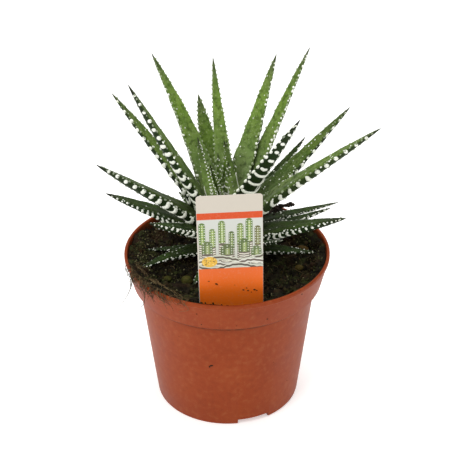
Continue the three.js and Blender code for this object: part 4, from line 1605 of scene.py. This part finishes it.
# %% Crown material and shape
def crown_tissue():
    material, tree, skin = new_material("haworthia crown, pale leaf bases")
    place = add(tree, "ShaderNodeTexCoord").outputs["Object"]
    height = add(tree, "ShaderNodeSeparateXYZ", links={"Vector": place}).outputs["Z"]
    level_ends = {0: height, 1: 86 * MM, 2: 130 * MM, 3: 0.0, 4: 1.0}
    level = add(tree, "ShaderNodeMapRange", links=level_ends).outputs[0]
    blots = add(tree, "ShaderNodeTexNoise", links={"Vector": place}, Scale=260.0, Detail=3.0).outputs["Fac"]
    bases = ((0.0, 0x3A2E1C), (0.15, 0x6A5B38), (0.35, 0x66743C), (0.7, 0x6E8A45), (1.0, 0x7E9A50))
    shade = add(tree, "ShaderNodeValToRGB", {"stops": bases}, {"Fac": level}).outputs["Color"]
    shade = layered(tree, shade, ((blots, 0.45, 0.7, 0.5, 0x48522C),))
    fill(tree, skin, {"Base Color": shade}, Roughness=0.55)
    return material


CROWN_TISSUE = crown_tissue()
CROWN_PROFILE = [(0.0, 72.0), (2.8, 73.0), (5.0, 81.0)]
CROWN_PROFILE += [
    (9 * math.cos(a), 110 + 20 * math.sin(a)) for a in np.linspace(-math.acos(5.5 / 9), math.radians(84), 26)
]
CROWN_PROFILE.append((0.0, 130.0))
crown_mesh = mesh_alone(turned("crown_bare", CROWN_PROFILE, 64, [CROWN_TISSUE], CROWN_PLACE))
print("crown:", len(crown_mesh.polygons), "faces")


# %% The bud of youngest leaves
class BudLeaf(Leaf):
    """A small leaf of the bud, placed by its azimuth, rise, length and width instead of by a solid."""

    def __init__(self, azimuth, level, reach, rise, length, width, seed):
        self.name = "bud_leaf"
        self.rng = random.Random(seed)
        a, tilt = math.radians(azimuth), math.radians(rise)
        outward = np.array((math.cos(a), math.sin(a), 0.0))
        forward = outward * math.cos(tilt) + np.array((0.0, 0.0, math.sin(tilt)))
        across = np.array((math.sin(a), -math.cos(a), 0.0))
        foot = np.array((CROWN_PLACE[0], CROWN_PLACE[1], level)) + outward * reach
        self.knots = np.array((-0.1, 0.3, 0.7, 1.0))
        curl = np.array((0.0, 0.0, 0.06 * length))
        bend = curl - outward * 0.08 * length
        self.line = np.array([foot + forward * length * k + bend * k * k for k in self.knots]) * MM
        self.acrosses = np.array([across] * 4)
        self.inwards = np.array([np.cross(across, forward)] * 4)
        self.width = width * MM
        self.length = length * MM
        self.first = -0.1
        self.phase = [self.rng.uniform(0, math.tau) for _ in range(4)]
        self.sway = 0.1 * MM


# Azimuth, level of the foot, its distance from the axis, rise, length and width, in degrees and mm.
BUD_LEAVES = (
    (95, 125, 3.5, 74, 34, 8.5),
    (190, 126, 3, 80, 30, 8),
    (5, 126, 2.6, 84, 27, 7.5),
    (270, 127, 2.2, 84, 24, 7),
    (140, 128, 1.2, 88, 21, 6),
)


def grown_leaf_meshes(leaf, look):
    """A leaf's skin and its tubercles."""
    points, faces, values = leaf_skin(leaf, look.age)
    skin = mesh_alone(mesh_object(leaf.name + "_skin", points, faces, [LEAF_FLESH]))
    for key, value in values.items():
        set_attribute(skin, key, value)
    return [skin, tubercle_mesh(leaf, look)]


bud_look = Look(0.0, 0.8, "fine", 0.3, 0.05, True)
bud_meshes = []
for index, numbers in enumerate(BUD_LEAVES):
    bud_meshes += grown_leaf_meshes(BudLeaf(*numbers, 300 + index), bud_look)
whole_crown = joined("crown_with_bud", [crown_mesh, *bud_meshes])
stands_for(whole_crown, "crown_stem")
print("crown with its bud:", len(whole_crown.data.polygons), "faces")

# %% [markdown]
# ## All the leaves
#
# Inner leaves are young and light, outer ones old and dark. One look for every leaf would be simpler, but
# each has its own mix of bars, teeth and dots, so each kind has a look and single leaves change what
# differs. Age runs from 0, fresh green, to 1, the dark blue-green of the oldest leaves, and on leaves in
# shadow that darkness is partly painted shade. Each leaf's skin and tubercles become one piece, which
# stands for its solid.

# %% Leaf looks
KIND_LOOKS = {
    "inner": Look(0.0, 0.8, "fine", 0.3, 0.06, True),
    "middle": Look(0.45, 1.25, "few", 0.2, 0.12, False),
    "outer": Look(1.0, 1.15, "few", 0.4, 0.2, False),
}
BEADED_YOUNG = {"bold": 0.5, "teeth": "beads", "white_teeth": 1.0, "joined": False, "step": 0.6}
OWN_LOOKS = {
    "inner_leaf_1": {"bold": 0.3, "white_teeth": 0.7, "joined": False, "dots": 0.02},
    "inner_leaf_2": {**BEADED_YOUNG, "dots": 0.9},
    "inner_leaf_3": {**BEADED_YOUNG, "dots": 0.6},
    "inner_leaf_4": {"white_teeth": 0.1},
    "inner_leaf_5": {"bold": 1.0, "white_teeth": 0.55, "dots": 0.1},
    "inner_leaf_6": {"age": 0.95, "bold": 1.3, "teeth": "bold", "white_teeth": 1.2, "step": 1.4},
    "middle_leaf_1": {"age": 0.05, "bold": 0.85, "teeth": "fine", "white_teeth": 0.04, "dots": 0.05},
    "middle_leaf_2": {"age": 0.5},
    "middle_leaf_3": {"age": 0.42, "bold": 1.4, "step": 1.1},
    "middle_leaf_4": {"age": 0.08, "bold": 1.0, "teeth": "fine", "white_teeth": 0.7},
    "middle_leaf_5": {"age": 0.3, "bold": 1.35, "dots": 0.5, "step": 1.12},
    "middle_leaf_6": {"age": 0.6, "bold": 1.2, "dots": 0.5},
    # This leaf sits in shadow, so its full age here is painted shade.
    "middle_leaf_7": {"age": 1.0},
    "middle_leaf_8": {"age": 0.25, "bold": 1.0, "teeth": "fine", "white_teeth": 0.3},
    "middle_leaf_9": {"age": 0.8, "bold": 1.3},
    "outer_leaf_1": {"age": 0.95, "bold": 0.78, "step": 0.68},
    "outer_leaf_3": {"bold": 0.85, "teeth": "beads", "white_teeth": 1.0, "step": 0.8},
    "outer_leaf_4": {"bold": 0.8, "teeth": "beads", "white_teeth": 0.8},
    "outer_leaf_6": {"bold": 0.85, "teeth": "beads", "white_teeth": 0.6},
    "outer_leaf_7": {"teeth": "beads", "white_teeth": 1.0, "step": 0.7},
    "outer_leaf_8": {"age": 0.9, "bold": 0.72, "teeth": "beads", "white_teeth": 0.8, "step": 0.85},
    "outer_leaf_9": {"bold": 0.7, "teeth": "beads", "white_teeth": 0.9},
    "outer_leaf_10": {"bold": 0.75, "teeth": "beads", "white_teeth": 0.8},
    "outer_leaf_18": {"bold": 0.7, "teeth": "beads", "white_teeth": 0.5},
}

# %% Build the leaves
leaf_names = [name for name in nodes if "_leaf_" in name]
total_faces = 0
for index, name in enumerate(leaf_names):
    kind = name.split("_")[0]
    look = KIND_LOOKS[kind]._replace(**OWN_LOOKS.get(name, {}))
    whole = joined(name + "_grown", grown_leaf_meshes(Leaf(name, 100 + index), look))
    stands_for(whole, name)
    total_faces += len(whole.data.polygons)
print(len(leaf_names), "leaves,", total_faces, "faces")

# %% [markdown]
# ## The withered leaf
#
# One old leaf has dried to a dark, curled-up scrap. A crumpled sheet would need a cloth simulation for a
# thing two centimetres long. Instead it is a thin stalk swept like the other leaves, with crumpled lumps
# along its outer two thirds, brown-black and dull.


# %% Withered leaf
def withered_tissue():
    material, tree, skin = new_material("withered leaf, brown-black and papery")
    place = add(tree, "ShaderNodeTexCoord").outputs["Object"]
    blots = add(tree, "ShaderNodeTexNoise", links={"Vector": place}, Scale=500.0, Detail=3.0).outputs["Fac"]
    browns = ((0.3, 0x15110D), (0.55, 0x2A2019), (0.75, 0x4A382A))
    shade = add(tree, "ShaderNodeValToRGB", {"stops": browns}, {"Fac": blots}).outputs["Color"]
    fill(tree, skin, {"Base Color": shade}, Roughness=0.8, Specular_IOR_Level=0.2)
    return material


withered = Leaf("withered_leaf", 77)
withered_rng = random.Random(31)
clump = bmesh.new()
for step in range(15):
    share = 0.35 + 0.045 * step
    middle = withered.frame_at(share)[0][0] / MM
    reach = 0.55 + 0.75 * soft_step(share, 0.5, 0.95)
    shove = [withered_rng.uniform(-1.3, 1.3) for _ in range(3)]
    made = bmesh.ops.create_icosphere(clump, subdivisions=3, radius=1.0)["verts"]
    for vertex in made:
        dent = 1 + 0.55 * noise.noise(vertex.co * 1.7 + Vector((step * 3.0, 0, 0)))
        dent += 0.25 * noise.noise(vertex.co * 5.0 + Vector((0, step * 3.0, 0)))
        stretched = Vector((vertex.co.x * 1.3, vertex.co.y, vertex.co.z * 0.85)) * reach * dent
        vertex.co = (Vector(middle[:]) + Vector(shove) + stretched) * MM
withered_mesh = bpy.data.meshes.new("withered_leaf_dry")
clump.to_mesh(withered_mesh)
clump.free()
withered_mesh.materials.append(withered_tissue())
withered_mesh.shade_smooth()
stalk_points, stalk_faces, _ = leaf_skin(withered, 1.0)
stalk = mesh_object("withered_stalk", stalk_points, stalk_faces, [withered_mesh.materials[0]])
withered_piece = joined("withered_leaf_dry", [withered_mesh, mesh_alone(stalk)])
stands_for(withered_piece, "withered_leaf")
print("withered leaf:", len(withered_piece.data.polygons), "faces")

# %% [markdown]
# ## The label's plastic and inks
#
# The label is a thin tag cut from white polystyrene sheet and printed. Its printed side is the front; the
# back and the stake stay white. The print could be an image on the sheet, but it is drawn here as flat
# shapes of ink, which need no image file. One material reads their colour from the mesh and wears it a
# little.


# %% Label materials
def white_polystyrene():
    material, tree, sheet = new_material("polystyrene sheet, white, slightly glossy")
    fill(tree, sheet, {}, Base_Color=colour(0xC9C0B2), Roughness=0.35, IOR=1.5)
    return material


def printing_ink():
    material, tree, ink = new_material("printing ink on the label")
    shade = add(tree, "ShaderNodeAttribute", {"attribute_name": "ink"}).outputs["Color"]
    place = add(tree, "ShaderNodeTexCoord").outputs["Object"]
    wear = add(tree, "ShaderNodeTexNoise", links={"Vector": place}, Scale=900.0, Detail=2.0).outputs["Fac"]
    shade = layered(tree, shade, ((wear, 0.55, 0.8, 0.12, 0xD8C8B0),))
    fill(tree, ink, {"Base Color": shade}, Roughness=0.38, Specular_IOR_Level=0.25, IOR=1.5)
    return material


POLYSTYRENE = white_polystyrene()
PRINTING_INK = printing_ink()
print(POLYSTYRENE.name, "and", PRINTING_INK.name)

# %% [markdown]
# ## The label's sheet
#
# The tag leans forward by three degrees and stands a little askew. It could be modelled flat and its
# object turned, but a finished piece sits at the origin unturned. So one matrix takes its own flat
# coordinates, across and down from the middle of its top edge, to its place in the pot.

# %% Label sheet
LABEL_WIDTH = 35.8
LABEL_LENGTH = 106.0
LABEL_THICKNESS = 0.6
LABEL_TOP = 159.2
LABEL_IN_SOIL = (1.2, -44.6, 86.0)
LABEL_LEAN = math.radians(3)
LABEL_TURN = math.radians(3)
LABEL_TILT = math.radians(1)
STAKE_SHOULDER = 76.0
top_forward = (LABEL_TOP - LABEL_IN_SOIL[2]) * math.tan(LABEL_LEAN)
label_matrix = (
    Matrix.Translation((LABEL_IN_SOIL[0], LABEL_IN_SOIL[1] - top_forward, LABEL_TOP))
    @ Matrix.Rotation(LABEL_TURN, 4, "Z")
    @ Matrix.Rotation(math.pi / 2 + LABEL_LEAN, 4, "X")
    @ Matrix.Rotation(LABEL_TILT, 4, "Z")
)


def label_point(across, down, forward=0.0):
    """A place on the tag in metres: across and down in mm, forward from the middle of the sheet."""
    return (label_matrix @ Vector((across, -down, forward))) * MM


def label_outline():
    """The sheet's outline, across and down in mm: round shoulders, straight sides and the stake."""
    half, corner = LABEL_WIDTH / 2, 1.8
    right_side = []
    for k in range(9):
        a = math.pi / 2 * (1 - k / 8)
        right_side.append((half - corner + corner * math.cos(a), corner - corner * math.sin(a)))
    right_side += [(half, STAKE_SHOULDER), (16.0, 80.0), (3.5, LABEL_LENGTH - 0.4), (2.9, LABEL_LENGTH)]
    return right_side + [(-across, down) for across, down in reversed(right_side)]


# %% Cut the sheet
# Four layers from back to front, each a lift and how far its outline is drawn in to round the edges.
SHEET_LAYERS = ((-0.3, 0.12), (-0.18, 0.0), (0.18, 0.0), (0.3, 0.12))
sheet_outline = label_outline()
count = len(sheet_outline)
middle_of_sheet = np.array((0.0, 50.0))
sheet_points = []
for forward, shrink in SHEET_LAYERS:
    for corner in sheet_outline:
        inward = unit(middle_of_sheet - corner) * shrink
        sheet_points.append(label_point(corner[0] + inward[0], corner[1] + inward[1], forward))
sheet_faces = [tuple(range(count)), tuple(3 * count + k for k in reversed(range(count)))]
for low in (0, count, 2 * count):
    for k in range(count):
        n = (k + 1) % count
        sheet_faces.append((low + n, low + k, low + count + k, low + count + n))
sheet_mesh = mesh_alone(mesh_object("label_sheet", sheet_points, sheet_faces, [POLYSTYRENE], smooth=False))
fix = bmesh.new()
fix.from_mesh(sheet_mesh)
bmesh.ops.recalc_face_normals(fix, faces=fix.faces)
fix.to_mesh(sheet_mesh)
fix.free()
print("label sheet:", len(sheet_faces), "faces")

# %% [markdown]
# ## The label's print
#
# The print is drawn like cut paper: each shape is an outline across and down the tag with one ink, laid
# about a hundredth of a millimetre above the shape under it, so that no two lie in one plane. Two orange
# fields stay bare. The lower one is a darker, redder orange at its top and is painted lighter towards its
# foot, against the shade that the rim and the soil cast there; that needs only another colour on its
# lower points. The picture is a plain drawing of our own: round-topped succulent columns with pale dots
# over banded sand, with a yellow patch of gravel.

# %% Ink shapes
print_points, print_faces, print_inks = [], [], []
INK_LIFT = 0.008


def lay_ink(outline, ink, layer, lower_ink=None):
    """One printed shape; lower_ink gives another colour to its lower points, for a fade."""
    first = len(print_points)
    top, foot = (edge(down for _, down in outline) for edge in (min, max))
    top_ink, low_ink = np.array(colour(ink)), np.array(colour(lower_ink or ink))
    for across, down in outline:
        print_points.append(label_point(across, down, LABEL_THICKNESS / 2 + INK_LIFT * layer))
        share = (down - top) / (foot - top)
        print_inks.append(top_ink * (1 - share) + low_ink * share)
    print_faces.append(tuple(first + k for k in reversed(range(len(outline)))))


def field(left, right_edge, top, foot):
    return [(left, top), (right_edge, top), (right_edge, foot), (left, foot)]


def dot(across, down, radius, flat, sides):
    """A round or flattened spot as an outline of a few sides."""
    angles = [-k * math.tau / sides for k in reversed(range(sides))]
    return [(across + radius * math.cos(a), down + radius * flat * math.sin(a)) for a in angles]


HALF = LABEL_WIDTH / 2 - 0.15
STRIPE_TOP, STRIPE_FOOT = 10.8, 15.0
PICTURE_TOP, PICTURE_FOOT = 15.2, 47.2
# The lower field is inked lighter towards its foot: painted light against the shade of the rim and soil.
LOWER_FIELD = ((PICTURE_FOOT, 0xE4682C), (56, 0xF47228), (63, 0xFF7820), (STAKE_SHOULDER, 0xFF7A1C))
lay_ink(field(-HALF, HALF, STRIPE_TOP, STRIPE_FOOT), 0xD04C1C, 1)
lay_ink(field(-HALF + 0.5, HALF, PICTURE_TOP, PICTURE_FOOT), 0xCBCDC6, 1, 0xC2C4B6)
for (top, ink), (foot, lower_ink) in zip(LOWER_FIELD, LOWER_FIELD[1:]):
    lay_ink(field(-HALF + 0.2, HALF, top, foot), ink, 1, lower_ink)
print("plain fields:", len(print_faces))

# %% Succulent columns on the label
ink_rng = random.Random(5)


def column(middle, foot, height, width, ink, light_ink, layer):
    """A round-topped column: green with dots above, brown with pale bent bars below."""
    half = width / 2
    shoulder = foot - height + half
    arc = [(middle + half * math.cos(a), shoulder - half * math.sin(a)) for a in np.linspace(math.pi, 0, 9)]
    lay_ink([(middle - half, foot), *arc, (middle + half, foot)], ink, layer)
    lit_left, lit_right, lit_top = middle - width * 0.12, middle + width * 0.2, foot - height + width * 0.4
    lit = [(lit_left, foot), (lit_left, shoulder), (lit_right, lit_top), (lit_right, foot)]
    lay_ink(lit, light_ink, layer + 1)
    waist = foot - height * 0.48
    lay_ink(field(middle - half, middle + half, waist, foot), 0x6A6056, layer + 2)
    down = foot - height + 1.5
    while down < foot - 1:
        if down > waist:
            left, right_edge = middle - width * 0.45, middle + width * 0.45
            upper_edge = [(left, down), (middle, down + 0.45), (right_edge, down)]
            lower_edge = [(right_edge, down + 0.65), (middle, down + 1.2), (left, down + 0.65)]
            lay_ink(upper_edge + lower_edge, 0xDFDCCB, layer + 3)
            down += 1.45
        else:
            for offset in (-0.34, 0.02, 0.36):
                wander = ink_rng.uniform(-0.25, 0.25)
                lay_ink(dot(middle + offset * width, down + wander, 0.36, 0.8, 6), 0xE7EADB, layer + 3)
            down += 1.6


# Each column's middle, foot, height and width in mm, its two inks and its layer.
COLUMNS = (
    (-15.2, 44, 27, 3.6, 0x5F7A3C, 0x9DB264, 2),
    (-9.6, 44, 23, 3.4, 0x6F8446, 0xA6B774, 2),
    (-4.4, 44, 28, 3.8, 0x6A8040, 0xA7B97B, 2),
    (0.8, 44, 21, 3.2, 0x56683A, 0x8A9A5E, 2),
    (5.6, 44, 26, 3.6, 0x6F8446, 0x9FB06E, 2),
    (10.4, 44, 29, 3.8, 0x5F7A3C, 0xA6B774, 2),
    (15.0, 44, 24, 3.4, 0x6B6A45, 0x8C9160, 2),
    (-12.6, 45, 16, 6.0, 0x66764A, 0x93A06C, 6),
    (-1.8, 45, 14, 7.0, 0x5F6C44, 0x8F9B66, 6),
    (7.6, 45, 17, 6.2, 0x5C6E3E, 0x94A468, 6),
    (14.2, 45, 12, 5.6, 0x66764A, 0x93A06C, 6),
)
for numbers in COLUMNS:
    column(*numbers)
print("columns:", len(COLUMNS))

# %% Banded sand on the label
BANDS = ((39.6, 0x5D5349, 0xC9CBB8), (42.2, 0x6A5F55, 0xDDDCD0), (44.8, 0x574E45, 0xCFCFBE))
PATCH_MIDDLE = (-11.5, 42.6)


def wave(across, index):
    """How far band number index dips at a place across the tag, in mm."""
    return 1.3 * math.sin(across / 4.2 + index * 1.9) + 0.3 * math.sin(across * 1.7 + index)


for index, (top, dark_ink, pale_ink) in enumerate(BANDS):
    steps = np.linspace(-HALF + 0.5, HALF, 22)
    for ink, rise, thick, lift in ((pale_ink, 0.0, 3.0, 0), (dark_ink, 0.8, 1.2, 1)):
        upper_edge = [(across, top + rise + wave(across, index)) for across in steps]
        lower_edge = [(across, down + thick) for across, down in reversed(upper_edge)]
        outline = [(across, min(down, PICTURE_FOOT)) for across, down in upper_edge + lower_edge]
        lay_ink(outline, ink, 10 + index * 2 + lift)
lay_ink(dot(*PATCH_MIDDLE, 4.3, 0.8, 18), 0xE3B548, 16)
for _ in range(34):
    angle, reach = ink_rng.uniform(0, math.tau), 3.7 * math.sqrt(ink_rng.random())
    across = PATCH_MIDDLE[0] + reach * math.cos(angle)
    down = PATCH_MIDDLE[1] + reach * 0.76 * math.sin(angle)
    grain = dot(across, down, ink_rng.uniform(0.2, 0.42), 1.0, 6)
    lay_ink(grain, ink_rng.choice((0x8A6420, 0xF1D88A, 0xB98A2C)), 17)
print_mesh = mesh_alone(mesh_object("label_print", print_points, print_faces, [PRINTING_INK], smooth=False))
ink_attribute = print_mesh.color_attributes.new("ink", "FLOAT_COLOR", "POINT")
ink_attribute.data.foreach_set("color", np.array(print_inks, dtype=np.float32).ravel())
print("printed shapes:", len(print_faces))

# %% Specks on the label, and the whole of it
label_front = (label_matrix.to_3x3() @ Vector((0, 0, 1))).normalized()
# Each speck's place across and down, and its half length, in mm.
LABEL_SPECKS = (
    (-12.3, 55.6, 0.45),
    (-8.2, 57.6, 0.75),
    (-7.6, 58.1, 0.4),
    (6.8, 62.6, 0.6),
    (8.6, 61.4, 0.45),
    (9.4, 63.2, 0.6),
    (13.0, 62.8, 0.7),
    (14.2, 63.4, 0.5),
    (11.2, 64.4, 0.35),
    (2.0, 59.0, 0.25),
)
speck_lift = LABEL_THICKNESS / 2 + 0.1
label_specks = [
    (label_point(across, down, speck_lift) / MM, label_front, (size, size * 0.7, 0.2))
    for across, down, size in LABEL_SPECKS
]
label = joined("label_printed", [sheet_mesh, print_mesh, specks("label_dirt", label_specks)])
stands_for(label, "plant_label")
print("label:", len(label.data.polygons), "faces")

# %% [markdown]
# ## The studio
#
# The photograph has a white ground and hardly any shadow. A room of white cards would give that slowly.
# A plain pale floor that glows a little, two large soft lights, one in front and one above, and a bright
# even surround give the same look with less noise.


# %% Floor and lights
def soft_light(name, place, aim, width, power):
    """A square lamp, in metres and watts."""
    data = bpy.data.lights.new(name, "AREA")
    data.shape = "SQUARE"
    data.size = width
    data.energy = power
    lamp = placed(name, data)
    lamp.location = place
    lamp.rotation_euler = (Vector(aim) - Vector(place)).to_track_quat("-Z", "Y").to_euler()


floor_material, floor_tree, paper = new_material("pale paper backdrop, matte")
fill(floor_tree, paper, {}, Base_Color=colour(0xF4F4F2), Roughness=0.9)
fill(floor_tree, paper, {}, Emission_Color=colour(0xFFFFFF), Emission_Strength=0.45)
FLOOR_HALF = 3.0
floor_corners = [(x * FLOOR_HALF, y * FLOOR_HALF, 0) for x, y in ((-1, -1), (1, -1), (1, 1), (-1, 1))]
floor = mesh_object("floor", floor_corners, [(0, 1, 2, 3)], [floor_material], smooth=False)

world = bpy.data.worlds.new("bright surround")
bpy.context.scene.world = world
world.use_nodes = True
surround = world.node_tree.nodes["Background"]
fill(world.node_tree, surround, {}, Color=colour(0xFFFFFF), Strength=0.62)
LIGHT_AIM = (0, 0, 0.1)
soft_light("key softbox", (-0.45, -0.6, 1.0), LIGHT_AIM, 0.5, 5)
soft_light("top softbox", (0.1, 0.25, 1.1), LIGHT_AIM, 0.6, 5)
bpy.context.scene.view_settings.view_transform = "Standard"
print("studio lit by", len(bpy.data.lights), "lamps")
